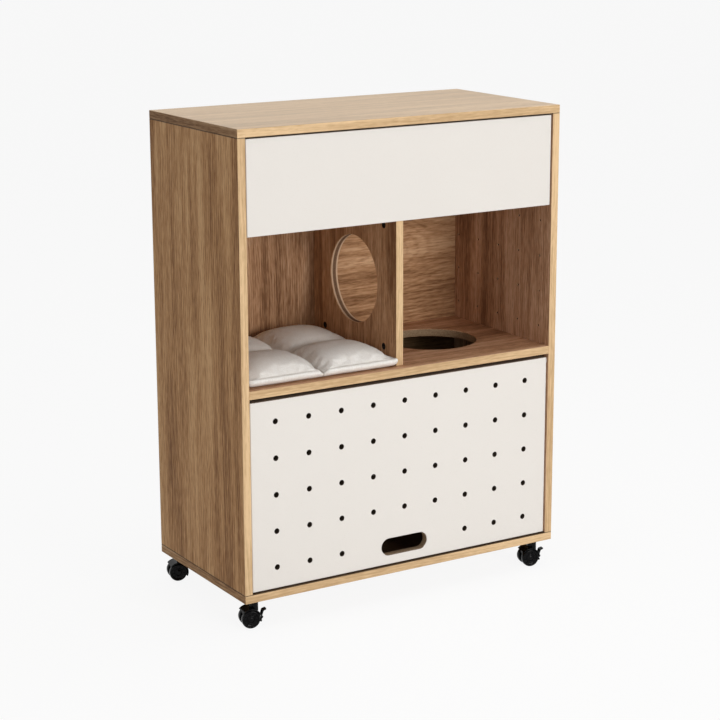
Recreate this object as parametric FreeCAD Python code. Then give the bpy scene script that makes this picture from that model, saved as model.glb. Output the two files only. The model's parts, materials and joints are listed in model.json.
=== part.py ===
import FreeCAD, Part
import math
import os

V = FreeCAD.Vector
UP = V(0, 0, 1)
DOWN = V(0, 0, -1)
FRONTWARD = V(0, -1, 0)
REARWARD = V(0, 1, 0)

# A cat cabinet on casters: a board carcass with a wide drawer on top, two open compartments
# in the middle, and a litter compartment below behind a flap door.
# All sizes are in millimetres. X points right, Y to the back and Z up. The origin lies on the
# floor under the middle of the carcass, and the front faces -Y.

# Carcass
carcass_width = 800.0
carcass_depth = 400.0
carcass_height = 1000.0
board = 18.0
edge_bevel = 0.6
shelf_level = 460.0          # top of the middle shelf above the carcass's underside
drawer_space = 169.0         # between the drawer shelf and the top panel
back_recess = 20.0
back_thickness = 5.0
back_groove_depth = 6.0
back_groove_play = 0.25
back_joint_gap = 1.0
over = 1.0                   # a cutter reaches this far past the face that it cuts
beyond = 100.0               # a cutter that trims one side of a piece reaches this far

# Round passages and air holes
passage_diameter = 196.0
passage_drop = 4.5           # centre of the divider's passage below the middle of the divider
floor_hole_diameter = 210.0
rim_bevel = 1.2
air_hole_diameter = 5.0
air_hole_pitch = 80.0
air_hole_margin = 35.0       # least distance from the carcass's edges
air_hole_first_row = 40.0    # above the middle shelf

# Board fixings
cam_diameter = 15.0
cam_depth = 12.5
cam_reach = 34.0             # from the end of the board to the cam's centre
cam_cross_arm = 4.5
cam_cross_width = 2.0
cam_cross_depth = 2.0
cam_bolt_diameter = 7.0
cam_bolt_thread = 5.0
cam_bolt_grip = 11.0
cam_bore_past = 2.0          # the bolt's bore reaches this far past the cam's centre
dowel_diameter = 8.0
dowel_length = 30.0
small_bevel = 0.6
fixing_play = 0.1
fixing_front_inset = 50.0
fixing_rear_inset = 75.0
dowel_step = 60.0            # from a cam to the dowel beside it

# Screws
screw_play = 0.05
cross_width = 1.0
cross_arm_share = 0.6        # of the head's radius
cross_depth_share = 0.8      # of the height of the head's cone
screw_point = 0.2
back_screw = {"head": 7.0, "shank": 3.0, "length": 20.0}
rail_screw = {"head": 5.6, "shank": 3.2, "length": 14.0}
drawer_rail_screw = {"head": 5.6, "shank": 3.2, "length": 10.0}
box_screw = {"head": 9.0, "shank": 5.0, "length": 40.0}
tray_screw = {"head": 7.0, "shank": 3.0, "length": 18.0}
plate_screw = {"head": 7.6, "shank": 4.0, "length": 16.0}
catch_screw = {"head": 6.0, "shank": 3.0, "length": 22.0}
strike_screw = {"head": 5.0, "shank": 3.0, "length": 12.0}
back_screw_edge = 5.0        # from the edge of a back panel
back_screw_inset = 60.0      # from the side of a compartment

# Drawer
front_board = 18.0
front_bevel = 1.0
drawer_front_inset = 3.0
drawer_front_gap = 2.5
drawer_grip_drop = 15.0      # the front hangs this far below the drawer shelf as a finger grip
drawer_shelf_gap = 4.0       # from the back of the drawer's front to the drawer shelf
drawer_side_board = 12.0
drawer_rear_gap = 14.0       # from the drawer to the back panel
drawer_side_height = 120.0
drawer_side_lift = 9.0       # drawer sides above the drawer shelf
drawer_tray_thickness = 5.0
drawer_tray_lift = 8.0       # tray above the lower edge of the sides
drawer_groove_depth = 5.0
drawer_groove_play = 0.2
drawer_dowel_diameter = 6.0
drawer_dowel_in_front = 12.0
drawer_dowel_in_side = 18.0
tray_screw_count = 5

# Drawer runners
runner_space = 13.0          # between a side panel and the drawer's side
runner_front_gap = 2.0       # from the back of the drawer's front
runner_rear_gap = 22.0       # from the back panel
runner_height = 36.0
runner_sheet = 1.2
runner_centre_lift = 67.0    # centre line above the drawer shelf
runner_lip = 1.6
outer_rail_depth = 11.0
inner_rail_start = 3.0
ball_diameter = 5.0
ball_play = 0.05
ball_line = 7.0              # ball centres from the side panel
ball_pitch = 24.0
balls_per_row = 4
cage_sheet = 0.8
cage_start = 1.6
cage_leg = 10.8
cage_end_margin = 6.5
ball_hole_play = 0.1
rail_screw_end = 35.0
rail_screws_per_rail = 3

# Flap door
door_front_inset = 4.0
door_side_gap = 2.5
door_bottom_gap = 3.0
door_top_gap = 8.0
door_pivot_drop = 9.0        # pivot below the door's upper edge
door_hole_diameter = 12.5
door_hole_pitch = 80.0
door_hole_margin = 45.0      # least distance from the door's edges
handle_length = 118.0
handle_height = 38.0
handle_centre_lift = 40.0    # slot centre above the door's lower edge
handle_hole_gap = 30.0       # a hole whose centre lies nearer to the slot is left out
pin_diameter = 6.0
pin_in_door = 22.0
pin_play = 0.05
bush_diameter = 10.0
bush_length = 10.0
bush_bottom = 1.0
bush_flange_diameter = 15.0
bush_flange = 1.2

# Magnetic catch
catch_width = 13.0
catch_length = 36.0
catch_height = 15.0
catch_level = 120.0          # above the carcass's underside
catch_gap = 0.3
magnet_length = 6.0
magnet_width = 9.0
magnet_height = 11.0
strike_diameter = 11.0
strike_thickness = 1.6
catch_screw_pitch = 16.0

# Casters
caster_height = 62.0
caster_inset_x = 34.0
caster_inset_y = 28.0
caster_heading = 168.0       # degrees from +X to the side where the wheels trail
caster_trail = 10.0
wheel_diameter = 40.0
wheel_width = 13.0
wheel_gap = 11.0             # between the two wheels of a caster
wheel_round = 2.0
wheel_rim = 4.5
wheel_hub_diameter = 16.0
wheel_hub_recess = 0.5       # the hub's inner end behind the rim's inner face
wheel_inner_dish = 2.0
wheel_outer_dish = 1.5
wheel_dish_slope = 1.0
wheel_cap_diameter = 14.0
wheel_cap_recess = 0.5
axle_diameter = 6.0
axle_end_wall = 2.0          # of the wheel, outside the axle's end
axle_end_play = 0.1
running_play = 0.05
press_play = 0.02
plate_size = 38.0
plate_thickness = 3.0
plate_round = 3.0
plate_screw_edge = 5.5       # from the plate's edges to the screws
kingpin_diameter = 7.0
kingpin_head_diameter = 8.6
kingpin_head = 2.5
kingpin_length = 18.0
kingpin_play = 0.2           # above and below the pin's head
neck_diameter = 20.0
neck_gap = 0.4
hood_play = 1.3
hood_wall = 2.2
hood_round = 1.4
hood_web_play = 1.0
hood_web_sunk = 0.5          # the web runs this far into the hood's wall
hood_web_front = 15.3        # from the axle, to the side where the wheels trail
hood_open_angle = 42.0
hood_long_angle = 206.0
hood_short_angle = 170.0
hood_skirt = 7.0             # the web reaches this far below the axle
pedal_clear = 2.0            # from the hood's outer face to the pedal's pivot
pedal_width = 11.0
pedal_trunnion = 3.0
pedal_ear = 2.5
pedal_ear_gap = 0.4
pedal_ear_radius = 3.2
pedal_ear_low_angle = 20.0   # where the ears meet the hood, above the axle
pedal_ear_high_angle = 27.0
pedal_barrel_wall = 1.2
pedal_arm = 2.6
pedal_elbow_reach = 4.0
pedal_elbow_rise = 12.0
pedal_tab_reach = 11.0
pedal_tab_rise = 17.0
pedal_shoe_gap = 2.0
pedal_shoe_thickness = 2.4
pedal_shoe_width = 30.0
pedal_shoe_high = 3.8        # the shoe's upper end below the axle
pedal_shoe_low = 7.5         # the shoe's lower end below the axle
pedal_stem_rise = 1.0        # the stem's lower end above the shoe's
pedal_web_play = 0.8

# Cushion
cushion_side_gap = 1.5
cushion_front_gap = 9.0
cushion_back_gap = 8.0
cushion_rest_gap = 0.3
cushion_crown = 46.0
cushion_seam_height = 13.0
cushion_end_height = 24.0
cushion_bulge = 3.0
cushion_draw_in = 6.0
cushion_channel = 5.0
cushion_web = 8.0
cushion_web_lift = 1.0
cushion_web_margin = 0.5
puff_stations = (0.0, 0.14, 0.5, 0.86, 1.0)
puff_fullness = 3

# Planes of the carcass
left_out = -carcass_width / 2
right_out = carcass_width / 2
left_in = left_out + board
right_in = right_out - board
front = -carcass_depth / 2
rear = carcass_depth / 2
back_out = rear - back_recess
back_in = back_out - back_thickness
base = caster_height
floor_top = base + board
roof = base + carcass_height
roof_under = roof - board
shelf_top = base + shelf_level
shelf_under = shelf_top - board
drawer_floor = roof_under - drawer_space
drawer_floor_under = drawer_floor - board
divider_left = -board / 2
divider_right = board / 2

# Planes of the drawer
drawer_front_y = front + drawer_front_inset
drawer_box_front = drawer_front_y + front_board
inner_front = drawer_box_front + drawer_shelf_gap
drawer_box_rear = back_in - drawer_rear_gap
drawer_half = (right_in - left_in) / 2 - runner_space
drawer_side_low = drawer_floor + drawer_side_lift
drawer_side_top = drawer_side_low + drawer_side_height
tray_low = drawer_side_low + drawer_tray_lift
tray_top = tray_low + drawer_tray_thickness
runner_z = drawer_floor + runner_centre_lift
runner_front = drawer_box_front + runner_front_gap
runner_rear = back_in - runner_rear_gap

# Planes of the door
door_front = front + door_front_inset
door_back = door_front + front_board
door_low = floor_top + door_bottom_gap
door_top = shelf_under - door_top_gap
door_half = (right_in - left_in) / 2 - door_side_gap
door_mid_y = door_front + front_board / 2
pivot_z = door_top - door_pivot_drop
handle_z = door_low + handle_centre_lift
pin_in_bush = bush_length - bush_bottom
strike_face = door_back + strike_thickness
catch_z = base + catch_level

# Places in a caster, from the top of its stem
axle_drop = caster_height - wheel_diameter / 2
hood_inner = wheel_diameter / 2 + hood_play
hood_outer = hood_inner + hood_wall
hood_half = wheel_gap / 2 + wheel_width
web_half = wheel_gap / 2 - hood_web_play
axle_half = hood_half - axle_end_wall
pedal_offset = hood_outer + pedal_clear
shoe_inner = wheel_diameter / 2 + pedal_shoe_gap


def box(x0, x1, y0, y1, z0, z1):
    return Part.makeBox(x1 - x0, y1 - y0, z1 - z0, V(x0, y0, z0))


def rod(radius, start, direction, length):
    return Part.makeCylinder(radius, length, start, direction)


def cone(radius_1, radius_2, start, direction, length):
    return Part.makeCone(radius_1, radius_2, length, start, direction)


def bevelled(solid, size):
    return solid.makeChamfer(size, solid.Edges)


def union(shapes):
    result = shapes[0]
    if len(shapes) > 1:
        result = shapes[0].fuse(shapes[1:])
    return result.removeSplitter()


def minus(solid, cutters):
    return solid.cut(cutters) if cutters else solid


def extruded(points, y0, y1):
    """A straight prism along Y over an outline of (x, z) points."""
    wire = Part.makePolygon([V(x, y0, z) for x, z in points + points[:1]])
    return Part.Face(wire).extrude(V(0, y1 - y0, 0))


def through_hole(radius, bevel, start, direction, length):
    """The cutter of a round hole whose two rims are bevelled."""
    away = V(direction).multiply(-1)
    end = start + V(direction).multiply(length)
    straight = rod(radius, start - V(direction).multiply(over), direction, length + 2 * over)
    first = cone(radius + bevel, radius, start, direction, bevel)
    second = cone(radius + bevel, radius, end, away, bevel)
    return [straight, first, second]


def cross_slots(top, into, arm, width, depth):
    """Two crossed slots that go from a round head's face into it."""
    across = into.cross(UP) if abs(into.z) < 0.5 else into.cross(REARWARD)
    along = into.cross(across)
    slots = []
    for first, second in ((across, along), (along, across)):
        corner = top - V(first).multiply(arm) - V(second).multiply(width / 2)
        corners = [corner, corner + V(first).multiply(2 * arm)]
        corners.append(corners[1] + V(second).multiply(width))
        corners.append(corner + V(second).multiply(width))
        slots.append(Part.Face(Part.makePolygon(corners + corners[:1])).extrude(V(into).multiply(depth)))
    return slots


# Screws


def screw_solid(size, point, into):
    """A countersunk cross-head screw whose head is flush at the point."""
    head = size["head"] / 2
    shank = size["shank"] / 2
    cone_height = head - shank
    tip = shank
    straight = size["length"] - cone_height - tip
    parts = [cone(head, shank, point, into, cone_height)]
    parts.append(rod(shank, point + V(into).multiply(cone_height), into, straight))
    parts.append(cone(shank, screw_point, point + V(into).multiply(cone_height + straight), into, tip))
    cross = cross_slots(point, into, head * cross_arm_share, cross_width, cone_height * cross_depth_share)
    return union(parts).cut(cross)


def screw_hole(size, point, into):
    """The cutter that gives a screw its countersink and its hole."""
    head = size["head"] / 2 + screw_play
    shank = size["shank"] / 2 + screw_play
    sink = cone(head, shank, point, into, head - shank)
    hole = rod(shank, point - V(into).multiply(over), into, size["length"] + 2 * over)
    return [sink, hole]


def screw_group(size, places):
    return Part.makeCompound([screw_solid(size, point, into) for point, into in places])


def screw_holes(size, places):
    cutters = []
    for point, into in places:
        cutters += screw_hole(size, point, into)
    return cutters


# Cam locks and dowels that join the boards


def cam_places():
    """Each place: board with the cam, board with the bolt, point on the joint, way into the cam's
    board, and the outward normal of the face that the cam sits in."""
    places = []
    side_ys = (front + fixing_front_inset, rear - fixing_rear_inset)
    divider_ys = (inner_front + fixing_front_inset, rear - fixing_rear_inset)
    for hand, name in ((-1, "left_side_panel"), (1, "right_side_panel")):
        middle = hand * (carcass_width - board) / 2
        inward = V(-hand, 0, 0)
        inner_face = hand * right_in
        for y in side_ys:
            places.append((name, "top_panel", V(middle, y, roof_under), DOWN, inward))
            places.append((name, "bottom_panel", V(middle, y, floor_top), UP, inward))
            shelf_point = V(inner_face, y, shelf_top - board / 2)
            places.append(("middle_shelf", name, shelf_point, inward, DOWN))
        for y in divider_ys:
            drawer_point = V(inner_face, y, drawer_floor - board / 2)
            places.append(("drawer_shelf", name, drawer_point, inward, UP))
    for y in divider_ys:
        places.append(("divider", "middle_shelf", V(0, y, shelf_top), UP, V(-1, 0, 0)))
        places.append(("divider", "drawer_shelf", V(0, y, drawer_floor_under), DOWN, V(-1, 0, 0)))
    return places


def dowel_places():
    """Each place: the two boards, the point on the joint and the way into the first board.
    A dowel stands beside each cam, towards the middle of the joint."""
    places = []
    for first, second, point, into, _ in cam_places():
        step = dowel_step if point.y < 0 else -dowel_step
        places.append((first, second, point + V(0, step, 0), into))
    return places


def cam_centre(point, into, face):
    return point + V(into).multiply(cam_reach) + V(face).multiply(board / 2)


def cam_locks():
    cams = []
    for _, _, point, into, face in cam_places():
        top = cam_centre(point, into, face)
        inward = V(face).multiply(-1)
        cam = rod(cam_diameter / 2, top, inward, cam_depth)
        pocket = rod(cam_bolt_diameter / 2 + fixing_play, point, into, cam_reach + cam_bore_past)
        cross = cross_slots(top, inward, cam_cross_arm, cam_cross_width, cam_cross_depth)
        cams.append(cam.cut([pocket] + cross))
    return Part.makeCompound(cams)


def cam_bolts():
    bolts = []
    for _, _, point, into, _ in cam_places():
        away = V(into).multiply(-1)
        shaft = rod(cam_bolt_diameter / 2, point, into, cam_reach)
        thread = rod(cam_bolt_thread / 2, point, away, cam_bolt_grip)
        bolts.append(union([shaft, thread]))
    return Part.makeCompound(bolts)


def dowels():
    pins = []
    for _, _, point, into in dowel_places():
        start = point - V(into).multiply(dowel_length / 2)
        pins.append(bevelled(rod(dowel_diameter / 2, start, into, dowel_length), small_bevel))
    return Part.makeCompound(pins)


def fixing_cuts(name):
    """The cutters of every cam, bolt and dowel that enters the named board."""
    cutters = []
    for cam_board, bolt_board, point, into, face in cam_places():
        away = V(into).multiply(-1)
        if name == cam_board:
            top = cam_centre(point, into, face)
            inward = V(face).multiply(-1)
            cutters.append(rod(cam_diameter / 2 + fixing_play, top, inward, cam_depth + fixing_play))
            bore = cam_bolt_diameter / 2 + fixing_play
            cutters.append(rod(bore, point, into, cam_reach + cam_bore_past))
        if name == bolt_board:
            cutters.append(rod(cam_bolt_thread / 2 + fixing_play, point, away, cam_bolt_grip + fixing_play))
    for first, second, point, into in dowel_places():
        if name in (first, second):
            reach = dowel_length / 2 + fixing_play
            start = point - V(into).multiply(reach)
            cutters.append(rod(dowel_diameter / 2 + fixing_play, start, into, 2 * reach))
    return cutters


# Carcass boards


def back_groove():
    """The ring that the back panels' edges sit in, in the sides, the top and the bottom."""
    depth = back_groove_depth
    play = back_groove_play
    return box(left_in - depth, right_in + depth, back_in - play, back_out + play,
               floor_top - depth, roof_under + depth)


def board_solid(name, solid, cutters=()):
    return minus(bevelled(solid, edge_bevel), fixing_cuts(name) + list(cutters))


def top_panel():
    solid = box(left_out, right_out, front, rear, roof_under, roof)
    return board_solid("top_panel", solid, [back_groove()])


def bottom_panel():
    solid = box(left_out, right_out, front, rear, base, floor_top)
    holes = screw_holes(plate_screw, plate_screw_places())
    return board_solid("bottom_panel", solid, [back_groove()] + holes)


def air_holes():
    """The grid of small holes beside the right compartment."""
    columns = int((carcass_depth - 2 * air_hole_margin) / air_hole_pitch) + 1
    upright = drawer_floor_under - shelf_top - air_hole_first_row - air_hole_margin
    rows = int(upright / air_hole_pitch) + 1
    holes = []
    for column in range(columns):
        y = (column - (columns - 1) / 2) * air_hole_pitch
        for row in range(rows):
            z = shelf_top + air_hole_first_row + row * air_hole_pitch
            start = V(right_in - over, y, z)
            holes.append(rod(air_hole_diameter / 2, start, V(1, 0, 0), board + 2 * over))
    return holes


def side_cuts(hand):
    cutters = [back_groove()]
    cutters += screw_holes(rail_screw, outer_rail_screw_places(hand))
    cutters += screw_holes(catch_screw, catch_screw_places(hand))
    bush = rod(bush_diameter / 2 + fixing_play, V(hand * right_in, door_mid_y, pivot_z), V(hand, 0, 0),
               bush_length + fixing_play)
    cutters.append(bush)
    return cutters


def left_side_panel():
    solid = box(left_out, left_in, front, rear, floor_top, roof_under)
    return board_solid("left_side_panel", solid, side_cuts(-1))


def right_side_panel():
    solid = box(right_in, right_out, front, rear, floor_top, roof_under)
    return board_solid("right_side_panel", solid, side_cuts(1) + air_holes())


def compartment_centre():
    """The middle of the right compartment's floor."""
    return (divider_right + right_in) / 2, (inner_front + back_in) / 2


def middle_shelf():
    solid = box(left_in, right_in, front, back_in, shelf_under, shelf_top)
    x, y = compartment_centre()
    hole = through_hole(floor_hole_diameter / 2, rim_bevel, V(x, y, shelf_under), UP, board)
    return board_solid("middle_shelf", solid, hole + back_screw_cuts())


def drawer_shelf():
    solid = box(left_in, right_in, inner_front, back_in, drawer_floor_under, drawer_floor)
    return board_solid("drawer_shelf", solid, back_screw_cuts())


def divider():
    solid = box(divider_left, divider_right, inner_front, back_in, shelf_top, drawer_floor_under)
    height = (shelf_top + drawer_floor_under) / 2 - passage_drop
    start = V(divider_left, (inner_front + back_in) / 2, height)
    hole = through_hole(passage_diameter / 2, rim_bevel, start, V(1, 0, 0), board)
    return board_solid("divider", solid, hole + back_screw_cuts())


# Back panels


def back_limits():
    """The outer limits of the back panels, inside the grooves."""
    reach = back_groove_depth - 2 * back_groove_play
    return left_in - reach, right_in + reach, floor_top - reach, roof_under + reach


def back_screw_places():
    """Screws along both edges of each joint between back panels, and along the divider."""
    places = []
    joint = back_joint_gap / 2 + back_screw_edge
    columns = (left_in + back_screw_inset, divider_left - back_screw_inset,
               divider_right + back_screw_inset, right_in - back_screw_inset)
    for level in (shelf_top, drawer_floor):
        for x in columns:
            for z in (level - board / 2 - joint, level - board / 2 + joint):
                places.append((V(x, back_out, z), FRONTWARD))
    divider_zs = (shelf_top + back_screw_inset, drawer_floor_under - back_screw_inset)
    for z in divider_zs:
        for x in (-joint, joint):
            places.append((V(x, back_out, z), FRONTWARD))
    return places


def back_screw_cuts():
    return screw_holes(back_screw, back_screw_places())


def back_panel(x0, x1, z0, z1):
    return minus(box(x0, x1, back_in, back_out, z0, z1), back_screw_cuts())


def back_levels():
    half = back_joint_gap / 2
    lower = shelf_top - board / 2
    upper = drawer_floor - board / 2
    return lower - half, lower + half, upper - half, upper + half


def litter_back_panel():
    x0, x1, low, _ = back_limits()
    return back_panel(x0, x1, low, back_levels()[0])


def left_back_panel():
    x0, _, _, _ = back_limits()
    return back_panel(x0, -back_joint_gap / 2, back_levels()[1], back_levels()[2])


def right_back_panel():
    _, x1, _, _ = back_limits()
    return back_panel(back_joint_gap / 2, x1, back_levels()[1], back_levels()[2])


def drawer_back_panel():
    x0, x1, _, high = back_limits()
    return back_panel(x0, x1, back_levels()[3], high)


# Drawer


def drawer_front_panel():
    half = (right_in - left_in) / 2 - drawer_front_gap
    low = drawer_floor_under - drawer_grip_drop
    high = roof_under - drawer_front_gap
    solid = bevelled(box(-half, half, drawer_front_y, drawer_box_front, low, high), front_bevel)
    groove = tray_groove()
    return minus(solid, [groove] + drawer_front_cuts())


def tray_groove():
    """The groove in the front and the sides that the tray's edges sit in."""
    play = drawer_groove_play
    reach = drawer_half - drawer_side_board + drawer_groove_depth
    start = drawer_box_front - drawer_groove_depth
    return box(-reach, reach, start, drawer_box_rear + over, tray_low - play, tray_top + play)


def drawer_tray():
    play = 2 * drawer_groove_play
    reach = drawer_half - drawer_side_board + drawer_groove_depth - play
    start = drawer_box_front - drawer_groove_depth + play
    solid = box(-reach, reach, start, drawer_box_rear, tray_low, tray_top)
    return minus(solid, screw_holes(tray_screw, tray_screw_places()))


def drawer_side(hand):
    outer = hand * drawer_half
    inner = outer - hand * drawer_side_board
    solid = box(min(outer, inner), max(outer, inner), drawer_box_front, drawer_box_rear,
                drawer_side_low, drawer_side_top)
    cutters = [tray_groove()] + screw_holes(box_screw, box_screw_places())
    cutters += screw_holes(drawer_rail_screw, inner_rail_screw_places(hand))
    return minus(solid, cutters + drawer_front_cuts())


def drawer_back():
    inner = drawer_half - drawer_side_board
    solid = box(-inner, inner, drawer_box_rear - drawer_side_board, drawer_box_rear,
                tray_top + drawer_groove_play, drawer_side_top)
    cutters = screw_holes(box_screw, box_screw_places()) + screw_holes(tray_screw, tray_screw_places())
    return minus(solid, cutters)


def box_screw_places():
    """Two screws through each drawer side into the back."""
    places = []
    y = drawer_box_rear - drawer_side_board / 2
    third = (drawer_side_top - tray_top) / 3
    for hand in (-1, 1):
        for z in (tray_top + third, drawer_side_top - third):
            places.append((V(hand * drawer_half, y, z), V(-hand, 0, 0)))
    return places


def tray_screw_places():
    """Screws up through the tray into the back's lower edge."""
    y = drawer_box_rear - drawer_side_board / 2
    step = 2 * (drawer_half - drawer_side_board) / tray_screw_count
    middle = (tray_screw_count - 1) / 2
    return [(V((k - middle) * step, y, tray_low), UP) for k in range(tray_screw_count)]


def drawer_dowel_places():
    """Two dowels join the front to the end of each drawer side."""
    places = []
    third = (drawer_side_top - tray_top) / 3
    for hand in (-1, 1):
        x = hand * (drawer_half - drawer_side_board / 2)
        for z in (tray_top + third, drawer_side_top - third):
            places.append(V(x, drawer_box_front, z))
    return places


def drawer_dowels():
    pins = []
    for point in drawer_dowel_places():
        start = point - V(0, drawer_dowel_in_front, 0)
        length = drawer_dowel_in_front + drawer_dowel_in_side
        pins.append(bevelled(rod(drawer_dowel_diameter / 2, start, REARWARD, length), small_bevel))
    return Part.makeCompound(pins)


def drawer_front_cuts():
    cutters = []
    for point in drawer_dowel_places():
        start = point - V(0, drawer_dowel_in_front + fixing_play, 0)
        length = drawer_dowel_in_front + drawer_dowel_in_side + 2 * fixing_play
        cutters.append(rod(drawer_dowel_diameter / 2 + fixing_play, start, REARWARD, length))
    return cutters


# Drawer runners


def runner_profile(hand, points, y0, y1):
    """A prism along Y: each point is the distance from the side panel and the height from the
    runner's centre line."""
    outline = [(hand * (right_in - u), runner_z + w) for u, w in points]
    return extruded(outline, y0, y1)


def rail_screw_ys():
    span = runner_rear - runner_front - 2 * rail_screw_end
    step = span / (rail_screws_per_rail - 1)
    return [runner_front + rail_screw_end + k * step for k in range(rail_screws_per_rail)]


def outer_rail_screw_places(hand):
    x = hand * (right_in - runner_sheet)
    return [(V(x, y, runner_z), V(hand, 0, 0)) for y in rail_screw_ys()]


def inner_rail_screw_places(hand):
    x = hand * (right_in - runner_space + runner_sheet)
    return [(V(x, y, runner_z), V(-hand, 0, 0)) for y in rail_screw_ys()]


def outer_rail(hand):
    half = runner_height / 2
    sheet = runner_sheet
    deep = outer_rail_depth
    lip = half - sheet - runner_lip
    upper = [(0, half), (deep, half), (deep, lip), (deep - sheet, lip), (deep - sheet, half - sheet),
             (sheet, half - sheet)]
    lower = [(u, -w) for u, w in reversed(upper)]
    rail = runner_profile(hand, upper + lower, runner_front, runner_rear)
    return minus(rail, screw_holes(rail_screw, outer_rail_screw_places(hand)))


def inner_rail(hand):
    half = runner_height / 2 - runner_sheet - ball_diameter - 2 * ball_play
    sheet = runner_sheet
    start = inner_rail_start
    end = runner_space
    upper = [(end, half), (start + sheet, half), (start + sheet, half + runner_lip),
             (start, half + runner_lip), (start, half - sheet), (end - sheet, half - sheet)]
    lower = [(u, -w) for u, w in reversed(upper)]
    rail = runner_profile(hand, upper + lower, runner_front, runner_rear)
    return minus(rail, screw_holes(drawer_rail_screw, inner_rail_screw_places(hand)))


def ball_line_height():
    return runner_height / 2 - runner_sheet - ball_diameter / 2 - ball_play


def ball_ys():
    middle = (runner_front + runner_rear) / 2
    return [middle + (k - (balls_per_row - 1) / 2) * ball_pitch for k in range(balls_per_row)]


def ball_cage(hand):
    """A bent strip that holds the balls apart. It runs half as far as the drawer."""
    leg = ball_line_height()
    half_sheet = cage_sheet / 2
    upper = [(cage_start, leg + half_sheet), (cage_leg, leg + half_sheet), (cage_leg, leg - half_sheet),
             (cage_start + cage_sheet, leg - half_sheet)]
    lower = [(u, -w) for u, w in reversed(upper)]
    ys = ball_ys()
    margin = ball_diameter / 2 + cage_end_margin
    cage = runner_profile(hand, upper + lower, ys[0] - margin, ys[-1] + margin)
    radius = ball_diameter / 2 + ball_hole_play
    x = hand * (right_in - ball_line)
    holes = [rod(radius, V(x, y, runner_z - leg - over), UP, 2 * (leg + over)) for y in ys]
    return minus(cage, holes)


def runner_balls():
    balls = []
    for hand in (-1, 1):
        x = hand * (right_in - ball_line)
        for y in ball_ys():
            for way in (-1, 1):
                centre = V(x, y, runner_z + way * ball_line_height())
                balls.append(Part.makeSphere(ball_diameter / 2, centre))
    return Part.makeCompound(balls)


# Flap door


def slot_cutter(x_half, z_half, y0, y1):
    """A round-ended slot through the door."""
    straight = x_half - z_half
    middle = box(-straight, straight, y0, y1, handle_z - z_half, handle_z + z_half)
    ends = [rod(z_half, V(x, y0, handle_z), REARWARD, y1 - y0) for x in (-straight, straight)]
    return union([middle] + ends)


def from_handle(x, z):
    """The distance from a point to the edge of the handle slot."""
    straight = (handle_length - handle_height) / 2
    aside = max(abs(x) - straight, 0)
    return math.hypot(aside, z - handle_z) - handle_height / 2


def door_hole_centres():
    """A grid about the middle of the door, without the holes that lie close to the handle slot."""
    places = []
    middle_z = (door_low + door_top) / 2
    rows = int((door_top - door_low - 2 * door_hole_margin) / door_hole_pitch) + 1
    columns = int(2 * (door_half - door_hole_margin) / door_hole_pitch) + 1
    for row in range(rows):
        z = middle_z + (row - (rows - 1) / 2) * door_hole_pitch
        for column in range(columns):
            x = (column - (columns - 1) / 2) * door_hole_pitch
            if from_handle(x, z) > handle_hole_gap:
                places.append((x, z))
    return places


def door_panel():
    panel = box(-door_half, door_half, door_front, door_back, door_low, door_top)
    panel = panel.cut(slot_cutter(handle_length / 2, handle_height / 2, door_front - over, door_back + over))
    panel = panel.makeChamfer(front_bevel, panel.Edges)
    holes = []
    for x, z in door_hole_centres():
        start = V(x, door_front - over, z)
        holes.append(rod(door_hole_diameter / 2, start, REARWARD, front_board + 2 * over))
    for hand in (-1, 1):
        start = V(hand * (door_half - pin_in_door - fixing_play), door_mid_y, pivot_z)
        holes.append(rod(pin_diameter / 2 + press_play, start, V(hand, 0, 0), pin_in_door + over))
    return minus(panel, holes + screw_holes(strike_screw, strike_screw_places()))


def door_pins():
    pins = []
    for hand in (-1, 1):
        start = V(hand * (door_half - pin_in_door), door_mid_y, pivot_z)
        length = pin_in_door + door_side_gap + pin_in_bush
        pins.append(bevelled(rod(pin_diameter / 2, start, V(hand, 0, 0), length), small_bevel))
    return Part.makeCompound(pins)


def door_bushes():
    bushes = []
    for hand in (-1, 1):
        way = V(hand, 0, 0)
        face = V(hand * right_in, door_mid_y, pivot_z)
        body = rod(bush_diameter / 2, face, way, bush_length)
        flange = rod(bush_flange_diameter / 2, face, V(-hand, 0, 0), bush_flange)
        start = face - V(hand * bush_flange, 0, 0)
        bore = rod(pin_diameter / 2 + pin_play, start, way, bush_flange + pin_in_bush + fixing_play)
        bushes.append(union([body, flange]).cut(bore))
    return Part.makeCompound(bushes)


def strike_centres():
    x = door_half - front_bevel - strike_diameter / 2
    return [V(hand * x, door_back, catch_z) for hand in (-1, 1)]


def strike_screw_places():
    return [(centre + V(0, strike_thickness, 0), FRONTWARD) for centre in strike_centres()]


def strike_plates():
    plates = [rod(strike_diameter / 2, centre, REARWARD, strike_thickness) for centre in strike_centres()]
    holes = screw_holes(strike_screw, strike_screw_places())
    return Part.makeCompound([plate.cut(holes) for plate in plates])


# Magnetic catches


def catch_box(hand, inset, y0, y1, z_half):
    outer = hand * (right_in - inset)
    inner = hand * (right_in - catch_width + inset)
    return box(min(outer, inner), max(outer, inner), y0, y1, catch_z - z_half, catch_z + z_half)


def magnet_seat(hand, play):
    inset = (catch_width - magnet_width) / 2 - play
    start = strike_face + catch_gap
    return catch_box(hand, inset, start, start + magnet_length + play, magnet_height / 2 + play)


def catch_screw_places(hand):
    start = strike_face + catch_gap + magnet_length
    middle = (start + strike_face + catch_gap + catch_length) / 2
    x = hand * (right_in - catch_width)
    ys = (middle - catch_screw_pitch / 2, middle + catch_screw_pitch / 2)
    return [(V(x, y, catch_z), V(hand, 0, 0)) for y in ys]


def door_catches():
    blocks = []
    for hand in (-1, 1):
        start = strike_face + catch_gap
        block = bevelled(catch_box(hand, 0, start, start + catch_length, catch_height / 2), small_bevel)
        cutters = [magnet_seat(hand, fixing_play)] + screw_holes(catch_screw, catch_screw_places(hand))
        blocks.append(block.cut(cutters))
    return Part.makeCompound(blocks)


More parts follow.
